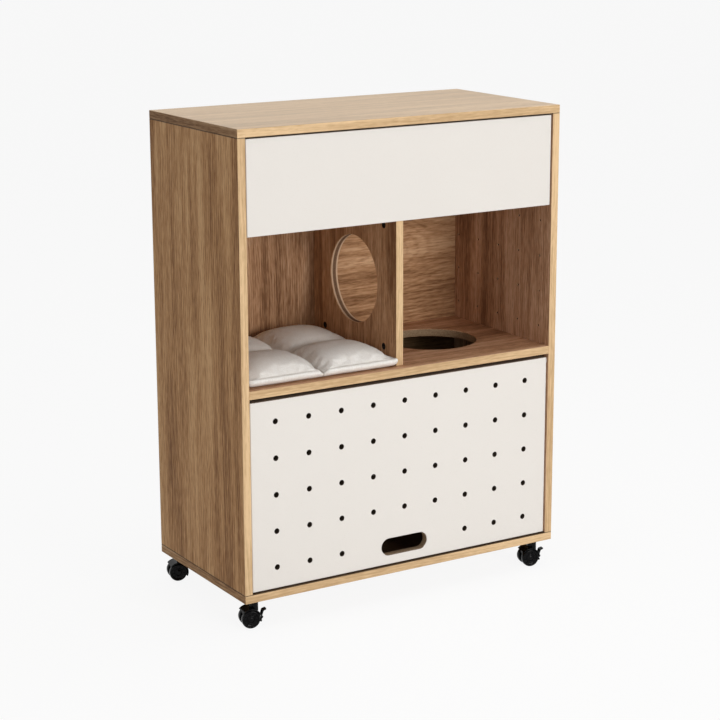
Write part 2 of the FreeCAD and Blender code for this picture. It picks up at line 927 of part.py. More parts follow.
def catch_magnets():
    return Part.makeCompound([magnet_seat(hand, 0) for hand in (-1, 1)])


# Cushion


def puff(x_low, x_high, y_low, y_high, z):
    """One padded square: a loft along Y through sections with a flat foot, two bulging sides
    and a crowned top. It is drawn in and low at its two ends."""
    half = (x_high - x_low) / 2
    x = (x_low + x_high) / 2
    sections = []
    for t in puff_stations:
        swell = 1 - abs(2 * t - 1) ** puff_fullness
        draw_in = cushion_draw_in * (1 - swell)
        side = half - cushion_bulge - draw_in
        seam = cushion_seam_height
        crown = cushion_end_height + (cushion_crown - cushion_end_height) * swell
        bulge = cushion_bulge
        y = y_low + (y_high - y_low) * t
        a = V(x - side, y, z)
        b = V(x + side, y, z)
        c = V(x + side, y, z + seam)
        d = V(x - side, y, z + seam)
        right = Part.Arc(b, V(x + side + bulge, y, z + seam / 2), c).toShape()
        top = Part.Arc(c, V(x, y, z + crown), d).toShape()
        left = Part.Arc(d, V(x - side - bulge, y, z + seam / 2), a).toShape()
        sections.append(Part.Wire([Part.makeLine(a, b), right, top, left]))
    return Part.makeLoft(sections, True, False)


def cushion():
    """Four padded squares on one sewn web, with a channel each way between them."""
    x_low = left_in + cushion_side_gap
    x_high = divider_left - cushion_side_gap
    y_low = front + cushion_front_gap
    y_high = back_in - cushion_back_gap
    z = shelf_top + cushion_rest_gap
    x_mid = (x_low + x_high) / 2
    y_mid = (y_low + y_high) / 2
    gap = cushion_channel / 2
    puffs = []
    for x0, x1 in ((x_low, x_mid - gap), (x_mid + gap, x_high)):
        for y0, y1 in ((y_low, y_mid - gap), (y_mid + gap, y_high)):
            puffs.append(puff(x0, x1, y0, y1, z))
    margin = cushion_bulge + cushion_draw_in
    web = box(x_low + margin, x_high - margin, y_low + cushion_web_margin, y_high - cushion_web_margin,
              z + cushion_web_lift, z + cushion_web)
    return union(puffs + [web])


# Casters, each built about its own stem: the wheels trail along +X, and Z = 0 is the
# underside of the bottom panel


def caster_spots():
    x = carcass_width / 2 - caster_inset_x
    y = carcass_depth / 2 - caster_inset_y
    return {
        "front_left": (-x, -y),
        "front_right": (x, -y),
        "rear_left": (-x, y),
        "rear_right": (x, y),
    }


def placed(shape, spot, heading=caster_heading):
    moved = shape.copy()
    moved.rotate(V(0, 0, 0), UP, heading)
    moved.translate(V(spot[0], spot[1], base))
    return moved


def plate_screw_places():
    places = []
    half = plate_size / 2 - plate_screw_edge
    for x, y in caster_spots().values():
        for dx in (-half, half):
            for dy in (-half, half):
                places.append((V(x + dx, y + dy, base - plate_thickness), UP))
    return places


def caster_plates():
    """Steel plates with their kingpins riveted in."""
    half = plate_size / 2
    plates = []
    for spot in caster_spots().values():
        plate = box(-half, half, -half, half, -plate_thickness, 0)
        upright = [edge for edge in plate.Edges if abs(edge.tangentAt(edge.FirstParameter).z) > 0.9]
        plate = plate.makeFillet(plate_round, upright)
        stem = rod(kingpin_diameter / 2, V(0, 0, -plate_thickness / 2), DOWN, kingpin_length)
        head_start = V(0, 0, -plate_thickness / 2 - kingpin_length)
        head = cone(kingpin_head_diameter / 2, kingpin_diameter / 2, head_start, DOWN, kingpin_head)
        plates.append(placed(union([plate, stem, head]), spot, 0))
    holes = screw_holes(plate_screw, plate_screw_places())
    return Part.makeCompound([plate.cut(holes) for plate in plates])


def around(radius, degrees):
    """The (x, z) of a point at a radius from the axle, so far above the axle on the stem's side."""
    angle = math.radians(degrees)
    return caster_trail - radius * math.cos(angle), -axle_drop + radius * math.sin(angle)


def hood_shell(end_angle):
    """The curved cover over the wheels, with rounded edges along its two sides."""
    centre = V(caster_trail, 0, -axle_drop)
    near = caster_trail + hood_inner
    far = caster_trail + hood_outer
    shift = hood_round * (1 - math.cos(math.pi / 4))
    edges = [Part.makeLine(V(near, hood_half, -axle_drop), V(near, -hood_half, -axle_drop))]
    for way in (-1, 1):
        side = way * hood_half
        flat = V(far - hood_round, side, -axle_drop)
        turn = V(far - shift, side - way * shift, -axle_drop)
        face = V(far, side - way * hood_round, -axle_drop)
        edges.append(Part.makeLine(V(near, side, -axle_drop), flat))
        edges.append(Part.Arc(flat, turn, face).toShape())
    edges.append(Part.makeLine(V(far, hood_round - hood_half, -axle_drop),
                               V(far, hood_half - hood_round, -axle_drop)))
    section = Part.Face(Part.Wire(Part.__sortEdges__(edges)))
    section.rotate(centre, V(0, -1, 0), hood_open_angle)
    return section.revolve(centre, V(0, -1, 0), end_angle - hood_open_angle)


def hood_web():
    """The upright plate between the wheels that carries the axle."""
    start = V(caster_trail, -web_half, -axle_drop)
    disc = rod(hood_inner + hood_web_sunk, start, REARWARD, 2 * web_half)
    below = box(-beyond, beyond, -beyond, beyond, -axle_drop - beyond, -axle_drop - hood_skirt)
    ahead = box(caster_trail + hood_web_front, beyond, -beyond, beyond, -axle_drop - beyond, 0)
    return disc.cut([below, ahead])


def caster_hood(braked):
    """The moulded body between and over the two wheels, with the socket for the kingpin."""
    dome = hood_shell(hood_short_angle if braked else hood_long_angle)
    web = hood_web()
    if braked:
        web = web.cut(pedal_room())
    neck_top = -plate_thickness - neck_gap
    neck = rod(neck_diameter / 2, V(0, 0, -axle_drop), UP, axle_drop + neck_top)
    drum = rod(hood_inner, V(caster_trail, -beyond, -axle_drop), REARWARD, 2 * beyond)
    parts = [dome, web, neck.cut(drum)]
    if braked:
        parts += pedal_ears()
    shoulder = -plate_thickness / 2 - kingpin_length + kingpin_play
    head_room = kingpin_head + 2 * kingpin_play
    bore = rod(kingpin_diameter / 2 + running_play, V(0, 0, shoulder), UP, -shoulder)
    socket = rod(kingpin_head_diameter / 2 + running_play, V(0, 0, shoulder), DOWN, head_room)
    start = V(caster_trail, -beyond, -axle_drop)
    axle_hole = rod(axle_diameter / 2 + running_play, start, REARWARD, 2 * beyond)
    return union(parts).cut([bore, socket, axle_hole])


def pedal_pivot():
    return V(caster_trail - pedal_offset, 0, -axle_drop)


def pedal_room():
    """The space that the pedal's shoe needs beside the web, below the end of the hood."""
    start = V(caster_trail, -web_half - over, -axle_drop)
    width = 2 * (web_half + over)
    outer = rod(hood_outer + pedal_offset, start, REARWARD, width)
    inner = rod(wheel_diameter / 2 - pedal_web_play, start, REARWARD, width)
    low = box(-beyond, caster_trail, -beyond, beyond, -axle_drop - beyond, -axle_drop + pedal_ear_radius)
    return outer.cut(inner).common(low)


def pedal_ears():
    """Two lugs at the hood's lower edge that hold the pedal's trunnions."""
    pivot = pedal_pivot()
    near = pedal_width / 2 + pedal_ear_gap
    low_root = around(hood_inner + hood_wall / 2, pedal_ear_low_angle)
    high_root = around(hood_outer, pedal_ear_high_angle)
    outline = [(pivot.x - pedal_ear_radius, pivot.z), (pivot.x + pedal_ear_radius, pivot.z),
               low_root, high_root]
    ears = []
    for y0 in (near, -near - pedal_ear):
        eye = rod(pedal_ear_radius, V(pivot.x, y0, pivot.z), REARWARD, pedal_ear)
        ear = union([eye, extruded(outline, y0, y0 + pedal_ear)])
        start = V(pivot.x, y0 - over, pivot.z)
        ears.append(ear.cut(rod(pedal_trunnion / 2 + running_play, start, REARWARD, pedal_ear + 2 * over)))
    return ears


def brake_pedal():
    """A rocking lever: the tab is pressed down and the shoe swings in against the wheels."""
    pivot = pedal_pivot()
    half = pedal_width / 2
    barrel = rod(pedal_trunnion / 2 + pedal_barrel_wall, V(pivot.x, -half, pivot.z), REARWARD, pedal_width)
    pin_half = half + pedal_ear_gap + pedal_ear
    pin = rod(pedal_trunnion / 2, V(pivot.x, -pin_half, pivot.z), REARWARD, 2 * pin_half)
    arm = pedal_arm / 2
    elbow_x = pivot.x - pedal_elbow_reach
    elbow_z = pivot.z + pedal_elbow_rise
    tip_x = pivot.x - pedal_tab_reach
    tip_z = pivot.z + pedal_tab_rise
    outline = [(pivot.x - arm, pivot.z), (elbow_x - arm, elbow_z), (tip_x, tip_z - pedal_arm),
               (tip_x, tip_z), (elbow_x + arm, elbow_z + pedal_arm), (pivot.x + arm, pivot.z)]
    lever = extruded(outline, -half, half)
    shoe_half = pedal_shoe_width / 2
    start = V(caster_trail, -shoe_half, -axle_drop)
    outer = rod(shoe_inner + pedal_shoe_thickness, start, REARWARD, 2 * shoe_half)
    inner = rod(shoe_inner, start - V(0, over, 0), REARWARD, 2 * (shoe_half + over))
    low = -axle_drop - pedal_shoe_low
    window = box(-beyond, caster_trail, -beyond, beyond, low, -axle_drop - pedal_shoe_high)
    shoe = outer.cut(inner).common(window)
    stem = box(pivot.x - arm, caster_trail - wheel_diameter / 2, -half, half,
               low + pedal_stem_rise, -axle_drop)
    return union([barrel, pin, lever, shoe, stem.cut(inner)])


def caster_axle():
    return rod(axle_diameter / 2, V(caster_trail, -axle_half, -axle_drop), REARWARD, 2 * axle_half)


def wheel_outline():
    """Half of a wheel's section: (radius, distance from the caster's middle plane)."""
    inner = wheel_gap / 2
    outer = inner + wheel_width
    radius = wheel_diameter / 2
    bore = axle_diameter / 2 + press_play
    blind = axle_half + axle_end_play
    hub = wheel_hub_diameter / 2
    hub_end = inner + wheel_hub_recess
    rim = radius - wheel_rim
    cap = wheel_cap_diameter / 2
    cap_face = outer - wheel_cap_recess
    inner_dish = inner + wheel_inner_dish
    outer_dish = outer - wheel_outer_dish
    return [(bore, hub_end), (hub, hub_end), (hub, inner_dish), (rim, inner_dish), (rim, inner),
            (radius - wheel_round, inner), (radius, inner + wheel_round),
            (radius, outer - wheel_round), (radius - wheel_round, outer),
            (rim, outer), (rim - wheel_dish_slope, outer_dish), (cap, outer_dish),
            (cap - wheel_dish_slope, cap_face), (0, cap_face), (0, blind), (bore, blind)]


def caster_wheels():
    centre = V(caster_trail, 0, -axle_drop)
    wheels = []
    for way in (-1, 1):
        points = [V(caster_trail + r, way * y, -axle_drop) for r, y in wheel_outline()]
        section = Part.Face(Part.makePolygon(points + points[:1]))
        wheels.append(section.revolve(centre, V(0, 1, 0), 360))
    return Part.makeCompound(wheels)


# The nodes


def nodes():
    result = {
        "top_panel": top_panel(),
        "bottom_panel": bottom_panel(),
        "left_side_panel": left_side_panel(),
        "right_side_panel": right_side_panel(),
        "middle_shelf": middle_shelf(),
        "drawer_shelf": drawer_shelf(),
        "divider": divider(),
        "litter_back_panel": litter_back_panel(),
        "left_back_panel": left_back_panel(),
        "right_back_panel": right_back_panel(),
        "drawer_back_panel": drawer_back_panel(),
        "cam_locks": cam_locks(),
        "cam_bolts": cam_bolts(),
        "dowels": dowels(),
        "back_screws": screw_group(back_screw, back_screw_places()),
        "drawer_front": drawer_front_panel(),
        "drawer_left_side": drawer_side(-1),
        "drawer_right_side": drawer_side(1),
        "drawer_back": drawer_back(),
        "drawer_tray": drawer_tray(),
        "drawer_dowels": drawer_dowels(),
        "drawer_box_screws": screw_group(box_screw, box_screw_places()),
        "drawer_tray_screws": screw_group(tray_screw, tray_screw_places()),
        "left_outer_rail": outer_rail(-1),
        "right_outer_rail": outer_rail(1),
        "left_inner_rail": inner_rail(-1),
        "right_inner_rail": inner_rail(1),
        "left_ball_cage": ball_cage(-1),
        "right_ball_cage": ball_cage(1),
        "runner_balls": runner_balls(),
        "outer_rail_screws": screw_group(
            rail_screw, outer_rail_screw_places(-1) + outer_rail_screw_places(1)),
        "inner_rail_screws": screw_group(
            drawer_rail_screw, inner_rail_screw_places(-1) + inner_rail_screw_places(1)),
        "door_panel": door_panel(),
        "door_pins": door_pins(),
        "door_bushes": door_bushes(),
        "strike_plates": strike_plates(),
        "strike_screws": screw_group(strike_screw, strike_screw_places()),
        "door_catches": door_catches(),
        "catch_magnets": catch_magnets(),
        "catch_screws": screw_group(catch_screw, catch_screw_places(-1) + catch_screw_places(1)),
        "cushion": cushion(),
        "caster_plates": caster_plates(),
        "caster_screws": screw_group(plate_screw, plate_screw_places()),
    }
    for name, spot in caster_spots().items():
        braked = name.startswith("front")
        result["caster_hood_" + name] = placed(caster_hood(braked), spot)
        result["caster_axle_" + name] = placed(caster_axle(), spot)
        result["caster_wheels_" + name] = placed(caster_wheels(), spot)
        if braked:
            result["brake_pedal_" + name] = placed(brake_pedal(), spot)
    return result


os.makedirs("parts", exist_ok=True)
for node, shape in nodes().items():
    shape.exportStep("parts/" + node + ".step")
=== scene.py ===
import json
import math

import bmesh
import bpy
from mathutils import Euler, Matrix, Vector


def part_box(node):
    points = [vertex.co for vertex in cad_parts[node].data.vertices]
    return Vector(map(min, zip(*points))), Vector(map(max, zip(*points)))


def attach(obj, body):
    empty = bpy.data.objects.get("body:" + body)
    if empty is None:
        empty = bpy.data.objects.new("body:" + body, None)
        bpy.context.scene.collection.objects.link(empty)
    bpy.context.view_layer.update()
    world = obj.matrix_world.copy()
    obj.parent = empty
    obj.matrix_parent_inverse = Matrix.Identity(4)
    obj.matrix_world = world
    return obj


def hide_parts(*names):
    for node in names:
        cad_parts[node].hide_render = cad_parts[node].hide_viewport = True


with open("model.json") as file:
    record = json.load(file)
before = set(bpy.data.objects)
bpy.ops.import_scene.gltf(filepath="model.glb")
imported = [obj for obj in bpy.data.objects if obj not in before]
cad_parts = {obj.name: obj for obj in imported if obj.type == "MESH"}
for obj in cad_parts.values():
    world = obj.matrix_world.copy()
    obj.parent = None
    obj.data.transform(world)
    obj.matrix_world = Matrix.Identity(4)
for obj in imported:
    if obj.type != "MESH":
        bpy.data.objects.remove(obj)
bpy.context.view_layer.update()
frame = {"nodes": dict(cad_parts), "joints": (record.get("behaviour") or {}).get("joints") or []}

# Camera and studio
# The cabinet stands on a plain pale floor under soft lamps, and the camera looks at it from the
# front left and a little from above. Its lens is worked out for an image 720 pixels square.
scene = bpy.context.scene
scene.view_settings.view_transform = "Standard"

camera_place = (-2.233, -3.647, 1.546)
camera_heading = 31.56
camera_fall = 13.77
camera_roll = -0.19
focal_pixels = 1969.0
image_pixels = 720.0

lens = bpy.data.cameras.new("camera")
lens.sensor_width = 36.0
lens.lens = focal_pixels / image_pixels * lens.sensor_width
camera = bpy.data.objects.new("camera", lens)
camera.location = camera_place
turn = (90.0 - camera_fall, 0.0, -camera_heading)
aim = Euler([math.radians(a) for a in turn], "XYZ").to_matrix()
aim = aim @ Euler((0, 0, math.radians(camera_roll)), "XYZ").to_matrix()
camera.rotation_euler = aim.to_euler("XYZ")
scene.collection.objects.link(camera)
scene.camera = camera


def softbox(name, place, target, width, height, watts, colour):
    """A square lamp that faces a point of the cabinet."""
    lamp = bpy.data.lights.new(name, "AREA")
    lamp.shape = "RECTANGLE"
    lamp.size = width
    lamp.size_y = height
    lamp.energy = watts
    lamp.color = colour
    body = bpy.data.objects.new(name, lamp)
    body.location = place
    body.rotation_euler = (Vector(target) - Vector(place)).to_track_quat("-Z", "Y").to_euler()
    body.visible_camera = False
    scene.collection.objects.link(body)


cabinet_middle = (0.0, 0.0, 0.55)
softbox("key_lamp", (0.9, -4.6, 1.35), cabinet_middle, 1.8, 1.5, 106.0, (1.0, 0.985, 0.96))
softbox("top_lamp", (0.3, -0.2, 3.4), (0.0, 0.0, 1.06), 2.2, 2.2, 34.0, (1.0, 0.99, 0.975))
softbox("left_lamp", (-3.0, -3.4, 1.3), cabinet_middle, 1.2, 1.6, 13.0, (1.0, 0.94, 0.86))

world = bpy.data.worlds.new("studio")
world.use_nodes = True
scene.world = world
room_light = 0.34


class Signal:
    """An output socket of a node tree. A sum written on it adds a Math node to the tree."""

    def __init__(self, tree, socket):
        self.tree = tree
        self.socket = socket

    def __add__(self, other):
        return self.tree.maths("ADD", self, other)

    def __radd__(self, other):
        return self.tree.maths("ADD", other, self)

    def __sub__(self, other):
        return self.tree.maths("SUBTRACT", self, other)

    def __rsub__(self, other):
        return self.tree.maths("SUBTRACT", other, self)

    def __mul__(self, other):
        return self.tree.maths("MULTIPLY", self, other)

    def __rmul__(self, other):
        return self.tree.maths("MULTIPLY", other, self)


class Tree:
    """A node tree written in code: node() adds any node, the rest are short names for common ones."""

    prefix = "ShaderNode"

    def __init__(self, nodes):
        self.nodes = nodes

    def node(self, kind, settings=None, inputs=None, output=0):
        """Adds a node: its settings first, then the values and links of its sockets."""
        made = self.nodes.nodes.new(self.prefix + kind)
        settings = dict(settings or {})
        stops = settings.pop("stops", None)
        for key, value in settings.items():
            setattr(made, key, value)
        if stops:
            ramp = made.color_ramp
            while len(ramp.elements) < len(stops):
                ramp.elements.new(0.5)
            for element, (place, colour) in zip(ramp.elements, stops):
                element.position = place
                element.color = (*colour, 1.0)
        for key, value in (inputs or {}).items():
            self.feed(made.inputs[key], value)
        return Signal(self, made.outputs[output])

    def feed(self, socket, value):
        if isinstance(value, Signal):
            self.nodes.links.new(value.socket, socket)
        else:
            socket.default_value = value

    def maths(self, operation, first, second=0.0):
        return self.node("Math", {"operation": operation}, {0: first, 1: second})

    def step(self, value, low, high):
        """0 below low and 1 above high, with a smooth rise between them."""
        settings = {"interpolation_type": "SMOOTHSTEP"}
        return self.node("MapRange", settings, {"Value": value, "From Min": low, "From Max": high})

    def vector(self, x, y, z):
        return self.node("CombineXYZ", None, {0: x, 1: y, 2: z})

    def split(self, vector):
        made = self.nodes.nodes.new("ShaderNodeSeparateXYZ")
        self.feed(made.inputs[0], vector)
        return [Signal(self, output) for output in made.outputs]

    def noise(self, vector, detail=2.0, roughness=0.5, scale=1.0):
        inputs = {"Vector": vector, "Scale": scale, "Detail": detail, "Roughness": roughness}
        return self.node("TexNoise", None, inputs)

    def mix(self, factor, first, second, way="MIX"):
        """A mix of two colours."""
        first, second = [c if isinstance(c, Signal) else (*c, 1.0) for c in (first, second)]
        settings = {"data_type": "RGBA", "blend_type": way}
        return self.node("Mix", settings, {0: factor, 6: first, 7: second}, output=2)

    def tint(self, colour, by):
        """A colour times another, part by part."""
        return self.mix(1.0, colour, by, way="MULTIPLY")


class Finish(Tree):
    """A material. Its shader's sockets are set by their names."""

    def __init__(self, name):
        self.material = bpy.data.materials.new(name)
        self.material.use_nodes = True
        super().__init__(self.material.node_tree)
        self.shader = self.nodes.nodes["Principled BSDF"]

    def set(self, **sockets):
        for key, value in sockets.items():
            socket = self.shader.inputs[key.replace("_", " ")]
            if isinstance(value, tuple) and len(value) == 3:
                value = (*value, 1.0)
            self.feed(socket, value)

    def relief(self, height, depth):
        """Roughens the surface by a height signal from 0 to 1 that stands for a depth in metres."""
        self.set(Normal=self.node("Bump", None, {"Height": height, "Distance": depth}))

    def place(self):
        return self.node("TexCoord", output="Object")

    def paint(self, *nodes):
        """Gives the finish to nodes of the frame."""
        for name in nodes:
            piece = frame["nodes"][name]
            piece.data.materials.clear()
            piece.data.materials.append(self.material)


def seen_directly(tree):
    """1 where the camera, a mirror or a clear piece looks straight at the background."""
    kinds = [tree.node("LightPath", output=name)
             for name in ("Is Camera Ray", "Is Glossy Ray", "Is Transmission Ray")]
    return tree.maths("MINIMUM", kinds[0] + kinds[1] + kinds[2], 1.0)


backdrop = Tree(world.node_tree)
sky = world.node_tree.nodes["Background"]
sky.inputs["Color"].default_value = (1.0, 1.0, 1.0, 1.0)
backdrop.feed(sky.inputs["Strength"], room_light + seen_directly(backdrop) * (1.0 - room_light))

floor_reach = 60.0
floor_white = (0.86, 0.86, 0.86)
glow_share = 0.9
floor_mesh = bpy.data.meshes.new("floor")
corners = [(-floor_reach, -floor_reach, 0), (floor_reach, -floor_reach, 0),
           (floor_reach, floor_reach, 0), (-floor_reach, floor_reach, 0)]
floor_mesh.from_pydata(corners, [], [(0, 1, 2, 3)])
floor = bpy.data.objects.new("floor", floor_mesh)
scene.collection.objects.link(floor)
floor_finish = Finish("floor_finish")
floor_finish.set(Base_Color=floor_white, Roughness=0.9)
lit = Signal(floor_finish, floor_finish.shader.outputs[0])
glow = floor_finish.node("Emission", None, {"Color": (1.0, 1.0, 1.0, 1.0)})
glow_here = seen_directly(floor_finish) * glow_share
shown = floor_finish.node("MixShader", None, {0: glow_here, 1: lit, 2: glow})
floor_finish.feed(floor_finish.nodes.nodes["Material Output"].inputs[0], shown)
floor_mesh.materials.append(floor_finish.material)

# Boards of the carcass
# Chipboard 18 mm thick under a printed oak decor, with oak bands glued round the edges. The grain
# runs along each board. The walls of the wide bores that a cat goes through get a painted
# highlight at both rims and painted shade between them.
AXES = "XYZ"
oak_light = (0.62, 0.405, 0.225)
oak_mid = (0.43, 0.245, 0.118)
oak_dark = (0.205, 0.102, 0.044)
# Paler wood mixed in as a painted sheen
oak_painted_sheen = (0.74, 0.62, 0.47)
band_light = (0.76, 0.54, 0.315)
band_dark = (0.52, 0.345, 0.185)
core_pale = (0.40, 0.28, 0.175)
core_dark = (0.22, 0.14, 0.08)
bore_rim_highlight = (0.62, 0.43, 0.29)
bore_shade_pale = (0.24, 0.14, 0.085)
bore_shade_dark = (0.10, 0.055, 0.032)
hardboard_pale = (0.40, 0.262, 0.158)
hardboard_dark = (0.20, 0.118, 0.064)
hardboard_scuff = (0.50, 0.36, 0.24)
# Dark colour of the glue lines and of the painted shade in the joints between boards
glue_and_joint_shade = (0.045, 0.028, 0.018)
band_thickness = 0.0008
glue_line = 0.0006
wear_width = 0.0007
sawn_depth = 0.0009
joint_width = 0.0013
rim_width = 0.0030
rim_end = 0.0062
squarely = 0.6
chips_per_metre = 420.0
chip_grit_per_metre = 900.0
board_gloss = 0.06

# Marks along the grain: how many lie in a metre along and across it, a seed, the detail of their
# noise, and how much they change the tone of the wood.
grain_marks = {"shade": (1.3, 14.0, 4.0, 2.0, 1.3),
               "band": (2.2, 48.0, 9.0, 3.0, 1.2),
               "streak": (9.0, 240.0, 5.0, 3.0, 0.8),
               "fibre": (38.0, 1100.0, 3.0, 2.0, 0.55),
               "mottle": (42.0, 290.0, 13.0, 2.0, 0.9)}
heart_sway = 0.05
heart_swell = 0.09
ring_ripple = 1.6
pores_along = 52.0
pores_across = 420.0


def over(tree, value, limit):
    """1 where a value is over a limit, and 0 elsewhere."""
    return tree.maths("GREATER_THAN", value, limit)


def least(tree, *values):
    """The least of some values."""
    found = values[0]
    for value in values[1:]:
        found = tree.maths("MINIMUM", found, value)
    return found


def board_measures(finish, name):
    """Where a point is on a board, which faces it lies on, and how far it is from the edges."""
    low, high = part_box(name)
    at = finish.split(finish.place())
    facing = finish.split(finish.node("TexCoord", output="Normal"))
    on = [over(finish, finish.maths("ABSOLUTE", part), squarely) for part in facing]
    depths = [least(finish, at[i] - low[i], high[i] - at[i]) for i in range(3)]
    pairs = [finish.maths("MAXIMUM", depths[i], depths[j]) for i, j in ((0, 1), (1, 2), (0, 2))]
    return {"low": low, "high": high, "at": at, "on": on, "facing": facing,
            "from_edge": least(finish, *pairs), "inside": least(finish, *depths)}


def sawn_core(finish, place):
    """Bare chipboard: pressed chips of a few millimetres, pale and dark."""
    cells = finish.node("TexVoronoi", {"feature": "F1"},
                        {"Vector": place, "Scale": chips_per_metre}, output=1)
    shade = finish.split(cells)[0]
    grit = finish.noise(place, detail=3.0, scale=chip_grit_per_metre)
    return finish.mix(shade * 0.6 + grit * 0.4, core_dark, core_pale)


def oak_grain(tree, along, across, seed, heart, depth, slope, gap, figure):
    """The grain of a board sawn from a log whose heart lies off to one side and below the cut.

    Year rings are a gap apart, and figure says how clearly they show. Gives how pale the wood is
    from 0 to 1, and where its dark pores are.
    """
    sway = tree.noise(tree.vector(along * 1.6, seed, 0.0), detail=2.0) - 0.5
    swell = tree.noise(tree.vector(along * 2.4, seed + 7.0, 3.0), detail=2.0) - 0.5
    aside = across - heart + sway * heart_sway
    below = depth + along * slope + swell * heart_swell
    far = tree.maths("SQRT", aside * aside + below * below)
    ripple = tree.noise(tree.vector(along * 5.0, across * 26.0, seed + 2.0), detail=3.0) - 0.5
    phase = far * (1.0 / gap) + ripple * ring_ripple
    ring = tree.maths("FRACT", phase)
    summer = tree.step(ring, 0.0, 0.4) * (1.0 - tree.step(ring, 0.66, 1.0) * 0.85)
    strength = tree.noise(tree.vector(phase * 0.23, seed, 5.0), detail=1.0)
    pale = 0.5 + (summer - 0.5) * (strength * figure)
    for rate_along, rate_across, own_seed, detail, weight in grain_marks.values():
        spot = tree.vector(along * rate_along, across * rate_across, seed + own_seed)
        pale = pale + (tree.noise(spot, detail=detail) - 0.5) * weight
    dashes = tree.noise(tree.vector(along * pores_along, across * pores_across, seed + 17.0), detail=1.0)
    pores = tree.step(dashes, 0.55, 0.70) * (1.25 - summer)
    return pale, pores


def oak_board(name, grain, seed, heart=0.7, depth=0.06, slope=0.0, gap=0.0065, figure=0.3,
              tone=(1.0, 1.0, 1.0), outer_tint=None, painted_sheen=0.0, end_shade=None, bore_light_and_shade=False,
              bore_shade_tone=1.0, joints=(), raw_back=False):
    """The finish of one board: its grain and its log, the bands, a painted highlight along the edges,
    painted shade at the joints and the cut walls.

    tone multiplies the wood's three colours as painted light or shade for the board, outer_tint only
    the outer face, and bore_shade_tone darkens the walls of its bores as painted shade. lined gives the
    walls of its bores a painted highlight at the rims and painted shade between them. bleach mixes
    in a paler wood as a painted sheen, and end_shade darkens the bands at its ends as painted shade.
    """
    finish = Finish(name + "_oak")
    board = board_measures(finish, name)
    low, high, at, on = board["low"], board["high"], board["at"], board["on"]
    size = high - low
    long_axis = AXES.index(grain)
    thin_axis = min(range(3), key=lambda i: size[i])
    wide_axis = 3 - long_axis - thin_axis
    along = at[long_axis] + (at[wide_axis] - at[long_axis]) * on[long_axis]
    across = at[thin_axis] + (at[wide_axis] - at[thin_axis]) * on[thin_axis]
    pale, pores = oak_grain(finish, along, across, seed, heart, depth, slope, gap, figure)
    light, mid, dark = [tuple(min(1.0, part * factor) for part, factor in zip(colour, tone))
                        for colour in (oak_light, oak_mid, oak_dark)]
    wood = finish.node("ValToRGB", {"stops": [(0.08, dark), (0.5, mid), (0.92, light)]}, {0: pale})
    decor = finish.mix(pores * 0.42, wood, dark)
    outer = over(finish, board["facing"][thin_axis], squarely)
    if outer_tint:
        decor = finish.mix(outer, decor, finish.tint(decor, outer_tint))
    # Painted sheen: a paler wood mixed over the whole board, for the light that its top face catches
    if painted_sheen:
        decor = finish.mix(painted_sheen, decor, oak_painted_sheen)
    band = finish.node("ValToRGB", {"stops": [(0.15, band_dark), (0.85, band_light)]}, {0: pale})
    band = finish.mix(pores * 0.25, band, oak_mid)
    # Painted shade: the bands at the board's ends are darkened, as ends that the light falls on less
    if end_shade:
        band = finish.mix(on[long_axis], band, finish.tint(wood, (end_shade, end_shade, end_shade)))
    banded = 1.0 - on[thin_axis]
    near = 1.0 - finish.step(board["from_edge"], band_thickness, band_thickness * 1.3)
    # Band colour within a band's thickness of every edge: partly the band's own edge, partly a painted
    # highlight along the arris
    colour = finish.mix(finish.maths("MAXIMUM", banded, near * 0.7), decor, band)
    glued = finish.step(board["from_edge"], band_thickness, band_thickness * 1.4)
    glued = glued - finish.step(board["from_edge"], band_thickness + glue_line, band_thickness * 2.4)
    colour = finish.mix(glued * (1.0 - banded) * 0.55, colour, glue_and_joint_shade)
    # Lighter patches along the edges: partly wear, partly a painted highlight where light catches the arris
    patches = finish.noise(finish.place(), detail=3.0, scale=60.0)
    worn_and_lit_edge = (1.0 - finish.step(board["from_edge"], 0.0, wear_width)) * finish.step(patches, 0.42, 0.62)
    colour = finish.mix(worn_and_lit_edge * 0.5, colour, band_light)
    if raw_back:
        fleck = finish.noise(finish.place(), detail=4.0, roughness=0.75, scale=420.0)
        felted = finish.noise(finish.place(), detail=5.0, roughness=0.65, scale=26.0)
        rubbing = finish.noise(finish.vector(along * 7.0, across * 40.0, seed), detail=3.0)
        scuffed = finish.step(rubbing, 0.62, 0.78)
        hardboard = finish.mix(finish.step(fleck * 0.6 + felted * 0.4, 0.36, 0.64),
                               hardboard_dark, hardboard_pale)
        hardboard = finish.mix(scuffed * 0.28, hardboard, hardboard_scuff)
        colour = finish.mix(outer, colour, hardboard)
    sawn = finish.step(board["inside"], sawn_depth, sawn_depth * 1.5)
    wall = sawn_core(finish, finish.place())
    # Painted light and shade in the wide bores: a painted highlight on the wall at both rims and painted
    # shade between them
    if bore_light_and_shade:
        from_face = least(finish, at[thin_axis] - low[thin_axis], high[thin_axis] - at[thin_axis])
        lit_rim = 1.0 - finish.step(from_face, rim_width, rim_end)
        shaded_bore_wall = finish.mix(finish.noise(finish.place(), detail=3.0, scale=220.0), bore_shade_dark, bore_shade_pale)
        wall = finish.mix(lit_rim, shaded_bore_wall, bore_rim_highlight)
    # Painted shade: the walls of small bores darkened nearly to black
    elif bore_shade_tone != 1.0:
        wall = finish.tint(wall, (bore_shade_tone, bore_shade_tone, bore_shade_tone))
    colour = finish.mix(sawn, colour, wall)
    # Painted shade: a dark line along each given end, where the board meets the next one
    for axis, side in joints:
        gap_to = high[axis] - at[axis] if side > 0 else at[axis] - low[axis]
        joint_shade = 1.0 - finish.step(gap_to, joint_width * 0.5, joint_width)
        colour = finish.mix(joint_shade * (0.85 - banded * 0.35), colour, glue_and_joint_shade)
    finish.set(Base_Color=colour, Roughness=0.5 + pores * 0.15 - pale * 0.06 + sawn * 0.3)
    finish.shader.inputs["Specular IOR Level"].default_value = board_gloss
    finish.relief(pale * 0.5 - pores * 0.9 + sawn * finish.noise(finish.place(), scale=700.0), 0.0002)
    finish.paint(name)


